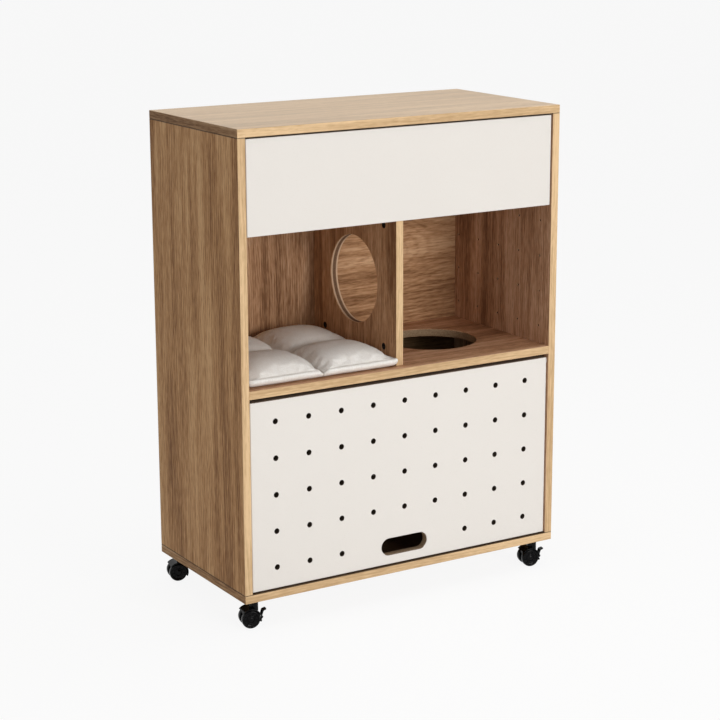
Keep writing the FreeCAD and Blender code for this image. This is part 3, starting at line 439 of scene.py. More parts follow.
both_ends = ((2, 1), (2, -1))
# The tones given in the calls below and under Back panels make the same oak lighter, darker or paler from
# board to board, as painted light or shade for how light falls on each
oak_board("top_panel", "X", 3.1, heart=0.9, painted_sheen=0.62, tone=(1.22, 1.22, 1.24), end_shade=0.60,
          joints=[(2, -1)])
oak_board("bottom_panel", "X", 8.4, heart=0.8, end_shade=0.92, joints=[(2, 1)])
oak_board("left_side_panel", "Z", 12.7, heart=0.55, depth=0.08, gap=0.0085, figure=0.34,
          tone=(1.08, 1.01, 0.91), joints=both_ends)
# Right side: its tone brightens the inner face as painted light, its outer tint brings the outer face back
# near the left side's colour, and its bore walls are painted nearly black as shade
oak_board("right_side_panel", "Z", 21.3, heart=0.62, depth=0.06, gap=0.0075, tone=(1.13, 1.12, 1.35),
          outer_tint=(0.95, 0.90, 0.68), bore_shade_tone=0.05, joints=both_ends)
oak_board("middle_shelf", "X", 30.9, heart=0.65, tone=(1.17, 1.12, 1.3))
oak_board("drawer_shelf", "X", 41.2, heart=0.75)
oak_board("divider", "Z", 52.6, heart=0.8, tone=(1.15, 1.13, 1.25), bore_light_and_shade=True)

# Back panels
# Hardboard 5 mm thick in grooves of the carcass, oak decor on the inside and bare behind. The
# right one was cut crosswise, so its grain lies flat and shows wide arches.
oak_board("left_back_panel", "Z", 63.8, heart=0.9, gap=0.006, tone=(1.0, 0.98, 1.1), raw_back=True)
oak_board("right_back_panel", "X", 77.5, heart=0.70, depth=0.02, slope=0.14, gap=0.009,
          figure=0.22, tone=(1.06, 1.03, 1.1), raw_back=True)
# The litter back is painted very dark, as the shade that shows through the floor hole
oak_board("litter_back_panel", "X", 85.1, heart=0.30, depth=0.03, slope=0.1, gap=0.011,
          tone=(0.28, 0.28, 0.26), raw_back=True)
oak_board("drawer_back_panel", "X", 91.9, heart=0.95, depth=0.04, gap=0.010, raw_back=True)

# Drawer front and flap door
# Chipboard under a warm white melamine with a fine soft tooth, and white bands on three edges. The
# top edge, which the board above hides, the holes and the handle slot show the bare board. The top
# edge and the walls of the round holes are painted nearly black as shade.
melamine = (0.785, 0.755, 0.72)
melamine_shade = (0.755, 0.722, 0.684)
melamine_fleck = (0.60, 0.53, 0.46)
rubbed_edge = (0.62, 0.56, 0.49)
raw_edge_shade = (0.030, 0.022, 0.016)
bore_wall_shade = (0.040, 0.028, 0.020)
slot_centre = (0.0, 0.123)
slot_reach = (0.062, 0.021)
tooth_per_metre = 900.0
tooth_depth = 0.00012
melamine_gloss = 0.35


def melamine_board(name, seed, painted_dimming=1.0):
    """The finish of a white front. Its round bores are painted darker inside than its handle slot, as
    shade, and its top edge is painted dark as the shade under the board above.
    """
    finish = Finish(name + "_melamine")
    board = board_measures(finish, name)
    place = finish.place()
    cloud = finish.noise(place, detail=3.0, scale=3.0 + 0.1 * seed)
    tooth = finish.noise(place, detail=2.0, roughness=0.6, scale=tooth_per_metre)
    fleck = finish.step(finish.noise(place, detail=1.0, scale=420.0), 0.66, 0.74)
    shade, face = [tuple(part * painted_dimming for part in white) for white in (melamine_shade, melamine)]
    colour = finish.mix(cloud * 0.6 + tooth * 0.4, shade, face)
    colour = finish.mix(fleck * 0.16, colour, melamine_fleck)
    near = 1.0 - finish.step(board["from_edge"], 0.0, wear_width)
    rubbed = near * finish.step(finish.noise(place, detail=3.0, scale=45.0), 0.5, 0.7)
    colour = finish.mix(rubbed * 0.35, colour, rubbed_edge)
    sawn = finish.step(board["inside"], sawn_depth, sawn_depth * 1.5)
    across, _, up = board["at"]
    beside_slot = over(finish, finish.maths("ABSOLUTE", across - slot_centre[0]), slot_reach[0])
    above_slot = over(finish, finish.maths("ABSOLUTE", up - slot_centre[1]), slot_reach[1])
    outside_slot = finish.maths("MAXIMUM", beside_slot, above_slot)
    core = sawn_core(finish, place)
    # Painted shade: the walls of the round bores are nearly black, while the handle slot shows the bare
    # core
    colour = finish.mix(sawn, colour, finish.mix(outside_slot * 0.92, core, bore_wall_shade))
    # Painted shade: the bare top edge is darkened nearly to black, as in the gap under the board above
    shaded_top_edge = over(finish, board["facing"][2], squarely) * (1.0 - sawn)
    colour = finish.mix(shaded_top_edge * 0.9, colour, finish.mix(tooth, raw_edge_shade, core_dark))
    finish.set(Base_Color=colour, Roughness=0.5 + tooth * 0.1 + sawn * 0.35)
    finish.shader.inputs["Specular IOR Level"].default_value = melamine_gloss
    finish.relief(tooth, tooth_depth)
    finish.paint(name)


# The drawer front's white is painted slightly darker than the door's, as painted shade
melamine_board("drawer_front", 1.0, 0.965)
melamine_board("door_panel", 2.0)

# Drawer box
# Sides and back of 12 mm oak-decor board and a 5 mm tray that slides into a groove.
oak_board("drawer_left_side", "Y", 103.3, heart=0.62)
oak_board("drawer_right_side", "Y", 111.6, heart=0.64)
oak_board("drawer_back", "X", 119.2, heart=0.72)
oak_board("drawer_tray", "X", 127.4, heart=0.02, depth=0.05, gap=0.011)

# Dowels
# Fluted beech pins, glued into both boards of a joint.
beech_dark = (0.52, 0.34, 0.19)
beech_pale = (0.74, 0.55, 0.36)
beech = Finish("beech")
fibre = beech.noise(beech.place(), detail=3.0, scale=260.0)
beech.set(Base_Color=beech.mix(fibre, beech_dark, beech_pale), Roughness=0.7 - fibre * 0.1)
beech.relief(fibre, 0.0002)
beech.paint("dowels", "drawer_dowels")

# Cam locks, bolts and screws
# Zinc-plated steel, slightly dull, with fine scratches from the driver. The cam locks are die-cast
# zinc, blackened, and sit in blind holes of the boards.


def plated(name, tint, rough, scratch):
    """Plated or blackened metal, cloudy and finely scratched."""
    finish = Finish(name)
    place = finish.place()
    cloud = finish.noise(place, detail=4.0, roughness=0.6, scale=160.0)
    fine = finish.noise(place, detail=3.0, roughness=0.7, scale=1400.0)
    dull = tuple(c * 0.72 for c in tint)
    finish.set(Base_Color=finish.mix(cloud, dull, tint), Metallic=1.0,
               Roughness=rough + (cloud - 0.5) * 0.2 + (fine - 0.5) * scratch)
    finish.relief(fine, 0.00004)
    return finish


zinc = plated("zinc", (0.66, 0.65, 0.62), 0.36, 0.3)
zinc.paint("cam_bolts", "back_screws", "outer_rail_screws", "inner_rail_screws",
           "drawer_box_screws", "drawer_tray_screws", "catch_screws", "strike_screws", "caster_screws",
           "strike_plates")
blackened = plated("blackened_zinc", (0.035, 0.034, 0.033), 0.5, 0.3)
blackened.paint("cam_locks")

# Drawer runners and door pins
# Rolled strip of bright zinc-plated steel, with hard steel balls in a bent cage, and turned pins.
runner_steel = plated("runner_steel", (0.70, 0.71, 0.72), 0.26, 0.22)
runner_steel.paint("left_outer_rail", "right_outer_rail", "left_inner_rail", "right_inner_rail",
                   "left_ball_cage", "right_ball_cage", "runner_balls", "door_pins")

# Catches, bushes and magnets
# Moulded beige housings screwed to the sides, with a bare ferrite magnet in each.
mould_dull = (0.68, 0.64, 0.56)
mould_pale = (0.76, 0.73, 0.66)
moulding = Finish("catch_moulding")
grain_of_mould = moulding.noise(moulding.place(), detail=3.0, scale=700.0)
haze = moulding.noise(moulding.place(), detail=2.0, scale=60.0)
moulding.set(Base_Color=moulding.mix(haze, mould_dull, mould_pale),
             Roughness=0.45 + grain_of_mould * 0.15)
moulding.relief(grain_of_mould, 0.00006)
moulding.paint("door_catches", "door_bushes")

ferrite_dark = (0.035, 0.035, 0.038)
ferrite_grey = (0.12, 0.118, 0.115)
ferrite = Finish("ferrite")
ferrite_grit = ferrite.noise(ferrite.place(), detail=5.0, roughness=0.7, scale=900.0)
ferrite.set(Base_Color=ferrite.mix(ferrite_grit, ferrite_dark, ferrite_grey),
            Roughness=0.55 + ferrite_grit * 0.2, Metallic=0.3)
ferrite.relief(ferrite_grit, 0.00008)
ferrite.paint("catch_magnets")

# Cushion
# Four padded squares of off-white cotton in one loose cover, which lies on the shelf. A rolled edge
# is stitched off all round, and the cover is sewn through along a cross, which draws it in there.
pad_low, pad_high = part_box("cushion")
pad_middle = ((pad_low.x + pad_high.x) / 2, (pad_low.y + pad_high.y) / 2)
roll_over = ((0.0, 0.0138), (0.0011, 0.0170), (0.0030, 0.0188), (0.0052, 0.0188), (0.0068, 0.0170))
roll_under = ((0.0, 0.0138), (0.0011, 0.0106), (0.0030, 0.0080), (0.0052, 0.0062), (0.0068, 0.0046))
roll_width = roll_over[-1][0]
pad_foot = 0.0007
pad_foot_from = 0.016
pad_crown = 0.0430
pad_valley = 0.0075
pad_step = 0.0042
pad_crease = 0.0008
pad_corner = 0.012
pad_notch = 0.0055
pad_notch_reach = 0.0075
pad_ear = 0.0065
pad_ear_from = -0.1768
pad_ear_ramp = 0.006
pad_room = 0.0015
pad_swell = 0.0045
pad_frames = 20
line_gather = 0.09
flank_round = 2.7
flank_rise = 0.52
flank_reach = 0.022
corner_pull = 0.40
slack_waves = ((61.0, 0.0, 0.0007), (140.0, 1.0, 0.0004))
notch_flattening = 0.45
edge_falloff = 7
ear_falloff = 9


def cut_lines(low, high, middle):
    """Places of the grid lines across the cloth, closer together at the roll and at the crease."""
    lines = [low + part for part, _ in roll_over[:-1]]
    for start, end in ((low + roll_width, middle - pad_crease), (middle + pad_crease, high - roll_width)):
        count = round((end - start) / pad_step)
        for k in range(count + 1):
            share = k / count
            lines.append(start + (end - start) * (share - math.sin(2 * math.pi * share) * line_gather))
    return lines + [high - part for part, _ in roll_over[-2::-1]]


def profile(points, at):
    """Height on a list of (distance, height) points, held past its end."""
    for (first, low), (second, high) in zip(points, points[1:]):
        if at <= second:
            return low + (high - low) * (at - first) / (second - first)
    return points[-1][1]


def fullness(at, low, high, middle):
    """0 at a line of stitches and 1 in the middle of a padded square, steep at the start."""
    start, end = low + roll_width, middle - pad_crease
    if at > middle:
        start, end = middle + pad_crease, high - roll_width
    share = max(0.0, 2.0 * min(at - start, end - at) / (end - start))
    return (1.0 - (1.0 - min(share, 1.0)) ** flank_round) ** flank_rise


def notched(at, middle):
    """1 at the crease, and nearly 0 two reaches away."""
    return math.exp(-((at - middle) / pad_notch_reach) ** 2)


def drawn_in(along, low, high, middle):
    """How far the edge lies inside a straight line: round corners and a notch at the crease."""
    corner = max(0.0, 1.0 - min(along - low, high - along) / pad_corner) ** 2 * pad_corner * corner_pull
    slack = sum(math.sin((along - low) * rate + start) * depth for rate, start, depth in slack_waves)
    return corner + slack + pad_notch * notched(along, middle)


def pad_cover():
    """Top and bottom cloth as one closed bag already in rough shape, with the cut as its UV map.

    Gives the mesh, the numbers of the held points and the rows of points that are stitched.
    """
    low = (pad_low.x + pad_room, pad_low.y + pad_room)
    high = (pad_high.x - pad_room, pad_high.y - pad_room)
    xs, ys = [cut_lines(low[k], high[k], pad_middle[k]) for k in (0, 1)]
    built = bmesh.new()
    cut = built.loops.layers.uv.new("cut")
    points = {}
    held = []
    for i, x in enumerate(xs):
        for j, y in enumerate(ys):
            share = [(x - pad_middle[0]) / (high[0] - pad_middle[0]),
                     (y - pad_middle[1]) / (high[1] - pad_middle[1])]
            px = x - drawn_in(y, low[1], high[1], pad_middle[1]) * share[0] ** edge_falloff
            py = y - drawn_in(x, low[0], high[0], pad_middle[0]) * share[1] ** edge_falloff
            ear = min(1.0, max(0.0, (pad_ear_from - y) / pad_ear_ramp))
            px += pad_ear * ear * max(0.0, share[0]) ** ear_falloff
            from_side = min(x - low[0], high[0] - x, y - low[1], high[1] - y)
            notch = max(notched(x, pad_middle[0]), notched(y, pad_middle[1]))
            flatter = 1.0 - notch_flattening * notch
            over_roll = profile(roll_over, from_side) * flatter
            if i in (0, len(xs) - 1) or j in (0, len(ys) - 1):
                points[1, i, j] = points[-1, i, j] = built.verts.new((px, py, over_roll))
                continue
            under_roll = profile(roll_under + ((pad_foot_from, pad_foot),), from_side) * flatter
            near_side = max(0.0, 1.0 - (from_side - roll_width) / flank_reach)
            base = pad_valley + (over_roll - pad_valley) * near_side
            full = (fullness(x, low[0], high[0], pad_middle[0])
                    * fullness(y, low[1], high[1], pad_middle[1]))
            top = over_roll if from_side < roll_width else base + (pad_crown - base) * full
            points[1, i, j] = built.verts.new((px, py, top))
            points[-1, i, j] = built.verts.new((px, py, max(under_roll, pad_foot)))
            from_cross = min(abs(x - pad_middle[0]), abs(y - pad_middle[1]))
            if from_cross < pad_crease * 1.5 or from_side < roll_width * 1.01:
                held.append(points[1, i, j])
            held.append(points[-1, i, j])
    for side in (1, -1):
        for i in range(len(xs) - 1):
            for j in range(len(ys) - 1):
                corners = ((0, 0), (1, 0), (1, 1), (0, 1))[::side]
                face = built.faces.new([points[side, i + a, j + b] for a, b in corners])
                for loop, (a, b) in zip(face.loops, corners):
                    loop[cut].uv = (xs[i + a], ys[j + b])
    built.verts.index_update()
    held = [vertex.index for vertex in held]
    for vertex in built.verts:
        vertex.co.z += pad_low.z
    near, far_x, far_y = len(roll_over) - 1, len(xs) - len(roll_over), len(ys) - len(roll_over)
    loop_of_roll = [(i, near) for i in range(near, far_x)] + [(far_x, j) for j in range(near, far_y)]
    loop_of_roll += [(i, far_y) for i in range(far_x, near, -1)]
    loop_of_roll += [(near, j) for j in range(far_y, near - 1, -1)]
    mid_x, mid_y = [lines.index(min(lines, key=lambda line: abs(line - middle + pad_crease)))
                    for lines, middle in zip((xs, ys), pad_middle)]
    rows = [loop_of_roll, [(i, mid_y) for i in range(near, far_x + 1)],
            [(mid_x, j) for j in range(near, far_y + 1)]]
    rows = [[points[1, i, j].index for i, j in row] for row in rows]
    mesh = bpy.data.meshes.new("cushion_cover")
    built.to_mesh(mesh)
    built.free()
    return mesh, held, rows


def fill_pad(pad, held):
    """Fills the bag as cloth under pressure, and lets no point move further than the swell allows."""
    start = [vertex.co.copy() for vertex in pad.data.vertices]
    sewn = pad.vertex_groups.new(name="sewn")
    sewn.add(held, 1.0, "REPLACE")
    cloth = pad.modifiers.new("cloth", "CLOTH")
    settings = cloth.settings
    settings.quality = 6
    settings.mass = 0.25
    settings.tension_stiffness = 16.0
    settings.compression_stiffness = 14.0
    settings.shear_stiffness = 6.0
    settings.bending_stiffness = 0.35
    settings.shrink_min = -0.035
    settings.use_pressure = True
    settings.uniform_pressure_force = 4.0
    settings.vertex_group_mass = "sewn"
    settings.effector_weights.gravity = 0.0
    cloth.point_cache.frame_start = 1
    cloth.point_cache.frame_end = pad_frames
    scene.frame_start = 1
    scene.frame_end = pad_frames
    for number in range(1, pad_frames + 1):
        scene.frame_set(number)
    filled = bpy.data.meshes.new_from_object(pad.evaluated_get(bpy.context.evaluated_depsgraph_get()))
    pad.modifiers.remove(cloth)
    pad.vertex_groups.clear()
    for vertex, first in zip(filled.vertices, start):
        move = vertex.co - first
        if move.length > pad_swell:
            move *= pad_swell / move.length
        place = first + move
        right = pad_high.x + (pad_ear if place.y < pad_ear_from - pad_ear_ramp / 2 else 0.0)
        vertex.co = (min(max(place.x, pad_low.x), right), min(max(place.y, pad_low.y), pad_high.y),
                     max(place.z, pad_low.z + pad_foot))
    pad.data = filled
    scene.frame_set(1)


# Short folds that start at the stitches: place on the shelf, heading in degrees, length and depth
wrinkles = ((-0.190, -0.052, 12, 0.038, 0.0013), (-0.190, -0.078, 28, 0.052, 0.0017),
            (-0.190, -0.108, 18, 0.040, 0.0015), (-0.190, -0.140, 6, 0.026, 0.0010),
            (-0.201, -0.075, 168, 0.036, 0.0012), (-0.201, -0.034, 150, 0.030, 0.0011),
            (-0.189, 0.018, 16, 0.034, 0.0012), (-0.189, 0.044, 34, 0.046, 0.0014),
            (-0.189, 0.082, 10, 0.030, 0.0010), (-0.201, 0.070, 160, 0.040, 0.0012),
            (-0.150, -0.018, -66, 0.030, 0.0011), (-0.104, -0.018, -98, 0.024, 0.0009),
            (-0.058, -0.018, -76, 0.030, 0.0010), (-0.134, -0.006, 70, 0.026, 0.0010),
            (-0.072, -0.006, 100, 0.030, 0.0010), (-0.270, -0.018, -104, 0.032, 0.0011),
            (-0.320, -0.006, 82, 0.028, 0.0010), (-0.130, -0.180, 80, 0.026, 0.0010),
            (-0.070, -0.180, 104, 0.030, 0.0011), (-0.036, -0.180, 84, 0.020, 0.0008),
            (-0.290, -0.180, 74, 0.028, 0.0010), (-0.020, -0.110, 170, 0.026, 0.0010),
            (-0.020, 0.060, 186, 0.030, 0.0010))
wrinkle_width = 0.0024
wrinkle_bow = 0.45
wrinkle_fade = 0.6
ridge_share = 0.5
ridge_aside = 1.8


def wrinkle_depth(x, y):
    """How deep the folds lie at a place: a groove with a soft ridge beside it."""
    deep = 0.0
    for start_x, start_y, heading, length, depth in wrinkles:
        turn = math.radians(heading)
        along = (x - start_x) * math.cos(turn) + (y - start_y) * math.sin(turn)
        if not 0.0 < along < length:
            continue
        bow = wrinkle_bow * along * (length - along) / length
        aside = ((y - start_y) * math.cos(turn) - (x - start_x) * math.sin(turn) - bow) / wrinkle_width
        fade = math.sin(math.pi * (along / length) ** wrinkle_fade)
        ridge = ridge_share * math.exp(-(aside - ridge_aside) ** 2)
        deep += depth * fade * (math.exp(-aside ** 2) - ridge)
    return deep


cover, held_points, stitched_rows = pad_cover()
cushion = bpy.data.objects.new("cushion_cover", cover)
scene.collection.objects.link(cushion)
fill_pad(cushion, held_points)
finer = cushion.modifiers.new("finer", "SUBSURF")
finer.levels = 1
finer.render_levels = 1
smooth_cover = bpy.data.meshes.new_from_object(cushion.evaluated_get(bpy.context.evaluated_depsgraph_get()))
cushion.modifiers.remove(finer)
cushion.data = smooth_cover
for vertex in cushion.data.vertices:
    if vertex.co.z > pad_low.z + roll_over[-1][1]:
        vertex.co.z -= wrinkle_depth(vertex.co.x, vertex.co.y)
cushion.data.shade_smooth()

threads_per_metre = 1250.0
nap_per_metre = 430.0
cotton_pale = (0.99, 0.975, 0.95)
cotton_dull = (0.90, 0.87, 0.83)
cotton_nap = (0.72, 0.67, 0.60)
cotton_gap = (0.74, 0.69, 0.63)
cotton_crease_shade = (0.40, 0.34, 0.28)
cotton = Finish("cotton")
pattern = cotton.node("UVMap", {"uv_map": "cut"})
u, v, _ = cotton.split(pattern)
warp = cotton.maths("SINE", u * (threads_per_metre * 2 * math.pi))
weft = cotton.maths("SINE", v * (threads_per_metre * 2 * math.pi))
weave = (warp * weft) * 0.5 + 0.5
slub = cotton.noise(cotton.vector(u * 60.0, v * 900.0, 0.0), detail=3.0)
slub_across = cotton.noise(cotton.vector(u * 900.0, v * 60.0, 4.0), detail=3.0)
crumple = cotton.noise(pattern, detail=4.0, roughness=0.55, scale=28.0)
nap = cotton.step(cotton.noise(pattern, detail=2.0, scale=nap_per_metre), 0.36, 0.64)
uneven = cotton.step(slub * 0.5 + slub_across * 0.5, 0.38, 0.62)
cloth_colour = cotton.mix(uneven, cotton_dull, cotton_pale)
cloth_colour = cotton.mix(nap * 0.22, cloth_colour, cotton_nap)
cloth_colour = cotton.mix(weave * 0.14, cloth_colour, cotton_gap)
from_border = least(cotton, u - (pad_low.x + pad_room), (pad_high.x - pad_room) - u,
                    v - (pad_low.y + pad_room), (pad_high.y - pad_room) - v)
from_cross = least(cotton, cotton.maths("ABSOLUTE", u - pad_middle[0]),
                   cotton.maths("ABSOLUTE", v - pad_middle[1]))
from_roll = cotton.maths("ABSOLUTE", from_border - roll_width)
# Painted shade in the sewn-in cross crease and in the groove beside the rolled edge
crease_shade = (1.0 - cotton.step(from_cross, 0.0008, 0.0042)) * 0.7
roll_seam_shade = (1.0 - cotton.step(from_roll, 0.0002, 0.0020)) * 0.4
cloth_colour = cotton.mix(cotton.maths("MAXIMUM", crease_shade, roll_seam_shade), cloth_colour, cotton_crease_shade)
cotton.set(Base_Color=cloth_colour, Roughness=0.88 + weave * 0.08)
cotton.shader.inputs["Sheen Weight"].default_value = 0.25
cotton.shader.inputs["Sheen Roughness"].default_value = 0.5
cotton.relief(weave * 0.25 + crumple * 1.2 + slub * 0.3 + nap * 0.22, 0.0010)
cushion.data.materials.append(cotton.material)
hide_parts("cushion")
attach(cushion, "cabinet")

# Stitches of the cushion
# Rows of thick off-white thread along the rolled edge and along both creases of the cross, each
# stitch half sunk in the cloth.
stitch_pitch = 0.0042
stitch_half = (0.00032, 0.00032, 0.0015)
stitch_lift = 0.0002


class GeometryTree(Tree):
    """A Geometry Nodes tree with named inputs. grow() runs it on a mesh and gives a plain mesh."""

    prefix = ""

    def __init__(self, name, inlets):
        super().__init__(bpy.data.node_groups.new(name, "GeometryNodeTree"))
        face = self.nodes.interface
        for label, kind in (("Geometry", "NodeSocketGeometry"), *inlets.items()):
            face.new_socket(label, in_out="INPUT", socket_type=kind)
        face.new_socket("Geometry", in_out="OUTPUT", socket_type="NodeSocketGeometry")
        self.entry = self.nodes.nodes.new("NodeGroupInput")
        self.exit = self.nodes.nodes.new("NodeGroupOutput")

    def inlet(self, name):
        return Signal(self, self.entry.outputs[name])

    def grow(self, mesh, geometry, values):
        real = self.node("GeometryNodeRealizeInstances", None, {"Geometry": geometry})
        painted = self.node("GeometryNodeSetMaterial", None,
                            {"Geometry": real, "Material": self.inlet("Finish")})
        self.feed(self.exit.inputs[0], painted)
        host = bpy.data.objects.new("host", mesh)
        scene.collection.objects.link(host)
        modifier = host.modifiers.new("grown", "NODES")
        modifier.node_group = self.nodes
        for socket in self.nodes.interface.items_tree:
            if socket.in_out == "INPUT" and socket.name in values:
                modifier[socket.identifier] = values[socket.name]
        graph = bpy.context.evaluated_depsgraph_get()
        grown = bpy.data.meshes.new_from_object(host.evaluated_get(graph))
        host.modifiers.remove(modifier)
        bpy.data.objects.remove(host)
        return grown


cover_points = cushion.data.vertices
row_points = [cover_points[k].co + cover_points[k].normal * stitch_lift
              for row in stitched_rows for k in row]
row_ends = [sum(len(row) for row in stitched_rows[:k + 1]) for k in range(len(stitched_rows))]
row_edges = [(k, k + 1) for k in range(len(row_points) - 1) if k + 1 not in row_ends]
rows_mesh = bpy.data.meshes.new("stitched_rows")
rows_mesh.from_pydata(row_points, row_edges, [])

sewing = GeometryTree("sewing", {"Pitch": "NodeSocketFloat", "Half Size": "NodeSocketVector",
                                 "Finish": "NodeSocketMaterial"})
row_curves = sewing.node("GeometryNodeMeshToCurve", None, {"Mesh": sewing.inlet("Geometry")})
even_rows = sewing.node("GeometryNodeResampleCurve", {"mode": "LENGTH"},
                        {"Curve": row_curves, "Length": sewing.inlet("Pitch")})
bead = sewing.node("GeometryNodeMeshUVSphere", None, {"Segments": 6, "Rings": 5, "Radius": 1.0})
one_stitch = sewing.node("GeometryNodeTransform", None,
                         {"Geometry": bead, "Scale": sewing.inlet("Half Size")})
heading = sewing.node("FunctionNodeAlignRotationToVector", {"axis": "Z"},
                      {"Vector": sewing.node("GeometryNodeInputTangent")})
sewn_rows = sewing.node("GeometryNodeInstanceOnPoints", None,
                        {"Points": even_rows, "Instance": one_stitch, "Rotation": heading})

thread_dull = (0.66, 0.62, 0.56)
thread_pale = (0.88, 0.86, 0.81)
thread = Finish("thread")
twist = thread.noise(thread.place(), detail=2.0, scale=1500.0)
thread.set(Base_Color=thread.mix(twist, thread_dull, thread_pale), Roughness=0.7 + twist * 0.1)
thread.relief(twist, 0.0001)
stitches_mesh = sewing.grow(rows_mesh, sewn_rows, {"Pitch": stitch_pitch, "Half Size": stitch_half,
                                                   "Finish": thread.material})
stitches = bpy.data.objects.new("cushion_stitches", stitches_mesh)
scene.collection.objects.link(stitches)
stitches.data.shade_smooth()
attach(stitches, "cabinet")

# Casters
# Twin-wheel casters of glossy black moulded plastic. A steel plate with a riveted pin is screwed
# under the bottom panel, and the front pair has a rocking brake pedal.
corners_of_cabinet = ("front_left", "front_right", "rear_left", "rear_right")
plastic_deep = (0.001, 0.001, 0.0012)
plastic_soft = (0.003, 0.003, 0.0034)
floor_dust = (0.10, 0.095, 0.085)
dust_height = 0.02
plastic_gloss = 0.1


def black_plastic(name, rough, dust):
    """Glossy black plastic with some floor dust low down."""
    finish = Finish(name)
    place = finish.place()
    swirl = finish.noise(place, detail=3.0, scale=70.0)
    fine = finish.noise(place, detail=3.0, roughness=0.7, scale=1200.0)
    height = finish.split(place)[2]
    grey = (1.0 - finish.step(height, 0.0, dust_height)) * finish.step(fine, 0.45, 0.7) * dust
    colour = finish.mix(swirl, plastic_deep, plastic_soft)
    colour = finish.mix(grey, colour, floor_dust)
    finish.set(Base_Color=colour, Roughness=rough + (swirl - 0.5) * 0.04 + grey * 0.3)
    finish.shader.inputs["Specular IOR Level"].default_value = plastic_gloss
    finish.relief(fine, 0.000012)
    return finish


hood_plastic = black_plastic("hood_plastic", 0.08, 0.06)
wheel_plastic = black_plastic("wheel_plastic", 0.11, 0.2)
hood_plastic.paint(*["caster_hood_" + corner for corner in corners_of_cabinet])
hood_plastic.paint("brake_pedal_front_left", "brake_pedal_front_right")
black_steel = plated("black_steel", (0.07, 0.07, 0.072), 0.34, 0.2)
black_steel.paint("caster_plates", *["caster_axle_" + corner for corner in corners_of_cabinet])

# Caster wheels
# Two moulded wheels on each caster, with a domed cap over the axle's end, a sunk face stiffened by
# ribs and a softly crowned tread. Each turns with its axle.
wheel_middle = 0.012
wheel_steps = 56
rib_count = 9
rib_radius = 0.0122
rib_length = 0.0054
rib_width = 0.0012
rib_height = 0.0011
rib_taper = ((0.0, 1.0), (0.7, 0.9), (1.0, 0.6))
dish_floor = 0.0040
rib_sunk = 0.0001
sharp_edge = 50.0
wheel_section = (
    (0.0, 0.0063), (0.0022, 0.0062), (0.0042, 0.0057), (0.0057, 0.0049), (0.0062, 0.0042),
    (0.0067, 0.0041), (0.0070, 0.0047), (0.0076, 0.0052), (0.0086, 0.0052), (0.0092, 0.0046),
    (0.0096, dish_floor), (0.0120, dish_floor - 0.0002), (0.0148, dish_floor + 0.0002),
    (0.0153, 0.0050), (0.0158, 0.0060), (0.0166, 0.0065),
    (0.0178, 0.0065), (0.0190, 0.0060), (0.0197, 0.0048), (0.0200, 0.0030), (0.0200, -0.0030),
    (0.0197, -0.0048), (0.0190, -0.0060), (0.0178, -0.0065), (0.0160, -0.0065), (0.0155, -0.0050),
    (0.0150, -0.0045), (0.0084, -0.0045), (0.0080, -0.0052), (0.0078, -0.0060), (0.0032, -0.0060),
    (0.0032, 0.0046), (0.0, 0.0046))


def turned(built, section, steps, frame_of_axis):
    """Adds a body turned from a section of (radius, place along the axis) points."""
    rows = []
    for radius, along in section:
        count = 1 if radius == 0.0 else steps
        rows.append([built.verts.new(frame_of_axis @ Vector((along, radius * math.cos(turn),
                                                             radius * math.sin(turn))))
                     for turn in [2 * math.pi * k / steps for k in range(count)]])
    for first, second in zip(rows, rows[1:]):
        for k in range(steps):
            ring = [first[k % len(first)], first[(k + 1) % len(first)],
                    second[(k + 1) % len(second)], second[k % len(second)]]
            built.faces.new(list(dict.fromkeys(ring)))


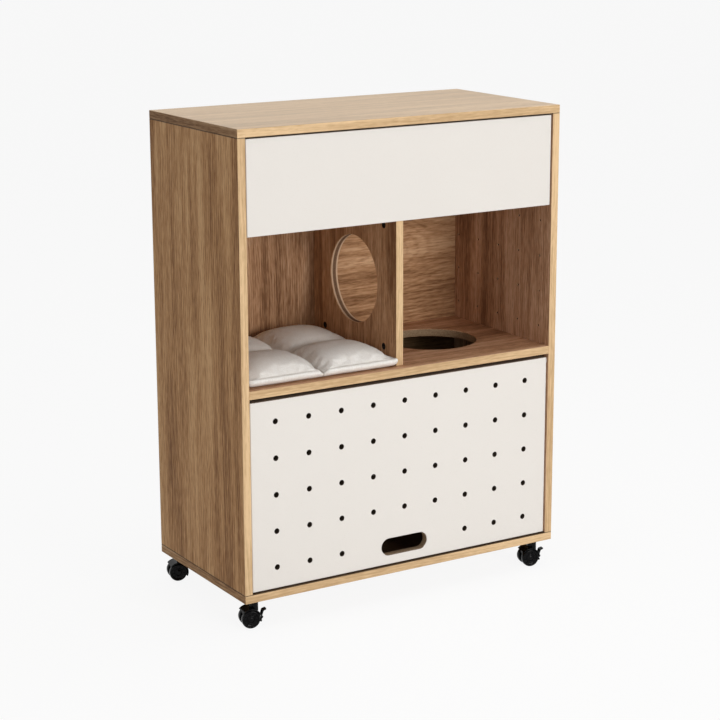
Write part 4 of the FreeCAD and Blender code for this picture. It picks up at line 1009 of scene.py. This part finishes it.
def rib_ring():
    """The ribs of one wheel, as a plain mesh about the X axis: one rib on each point of a ring."""
    rib = bmesh.new()
    half = Vector((rib_height, rib_length / 2, rib_width / 2))
    for up, spread in rib_taper:
        for y, z in ((-1, -1), (1, -1), (1, 1), (-1, 1)):
            rib.verts.new((half.x * up, y * (half.y - (1.0 - spread) * half.z), z * half.z * spread))
    corners = list(rib.verts)
    for level in (0, 4):
        for k in range(4):
            rib.faces.new([corners[level + k], corners[level + (k + 1) % 4],
                           corners[level + 4 + (k + 1) % 4], corners[level + 4 + k]])
    rib.faces.new(corners[0:4])
    rib.faces.new(corners[8:12])
    bmesh.ops.recalc_face_normals(rib, faces=rib.faces)
    mesh = bpy.data.meshes.new("wheel_rib")
    rib.to_mesh(mesh)
    rib.free()
    tree = GeometryTree("wheel_ribs", {"Count": "NodeSocketInt", "Radius": "NodeSocketFloat",
                                       "Finish": "NodeSocketMaterial"})
    ring = tree.node("GeometryNodeMeshCircle", None,
                     {"Vertices": tree.inlet("Count"), "Radius": tree.inlet("Radius")})
    upright = tree.node("GeometryNodeTransform", None,
                        {"Geometry": ring, "Rotation": (0.0, math.radians(90.0), 0.0)})
    outward = tree.node("FunctionNodeAlignRotationToVector", {"axis": "Y", "pivot_axis": "X"},
                        {"Vector": tree.node("GeometryNodeInputPosition")})
    ribs = tree.node("GeometryNodeInstanceOnPoints", None,
                     {"Points": upright, "Rotation": outward, "Instance": tree.inlet("Geometry")})
    return tree.grow(mesh, ribs, {"Count": rib_count, "Radius": rib_radius,
                                  "Finish": wheel_plastic.material})


ribs_of_wheel = rib_ring()
for corner in corners_of_cabinet:
    roll = next(joint for joint in frame["joints"] if joint["name"] == "roll_" + corner)
    axis = Vector(roll["axis"]).normalized()
    across = Vector((0, 0, 1)).cross(axis)
    pair = bmesh.new()
    for way in (1, -1):
        hub = Vector(roll["pos_m"]) + axis * (way * wheel_middle)
        turned_to = Matrix((axis * way, across * way, Vector((0, 0, 1)))).transposed().to_4x4()
        to_wheel = Matrix.Translation(hub) @ turned_to
        turned(pair, wheel_section, wheel_steps, to_wheel)
        ribs = ribs_of_wheel.copy()
        ribs.transform(to_wheel @ Matrix.Translation((dish_floor - rib_sunk, 0, 0)))
        pair.from_mesh(ribs)
    bmesh.ops.recalc_face_normals(pair, faces=pair.faces)
    wheels_mesh = bpy.data.meshes.new("wheels_" + corner)
    pair.to_mesh(wheels_mesh)
    pair.free()
    wheels_mesh.materials.clear()
    wheels_mesh.materials.append(wheel_plastic.material)
    wheels = bpy.data.objects.new("caster_wheel_pair_" + corner, wheels_mesh)
    scene.collection.objects.link(wheels)
    wheels_mesh.shade_smooth()
    wheels_mesh.set_sharp_from_angle(angle=math.radians(sharp_edge))
    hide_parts("caster_wheels_" + corner)
    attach(wheels, "wheels_" + corner)
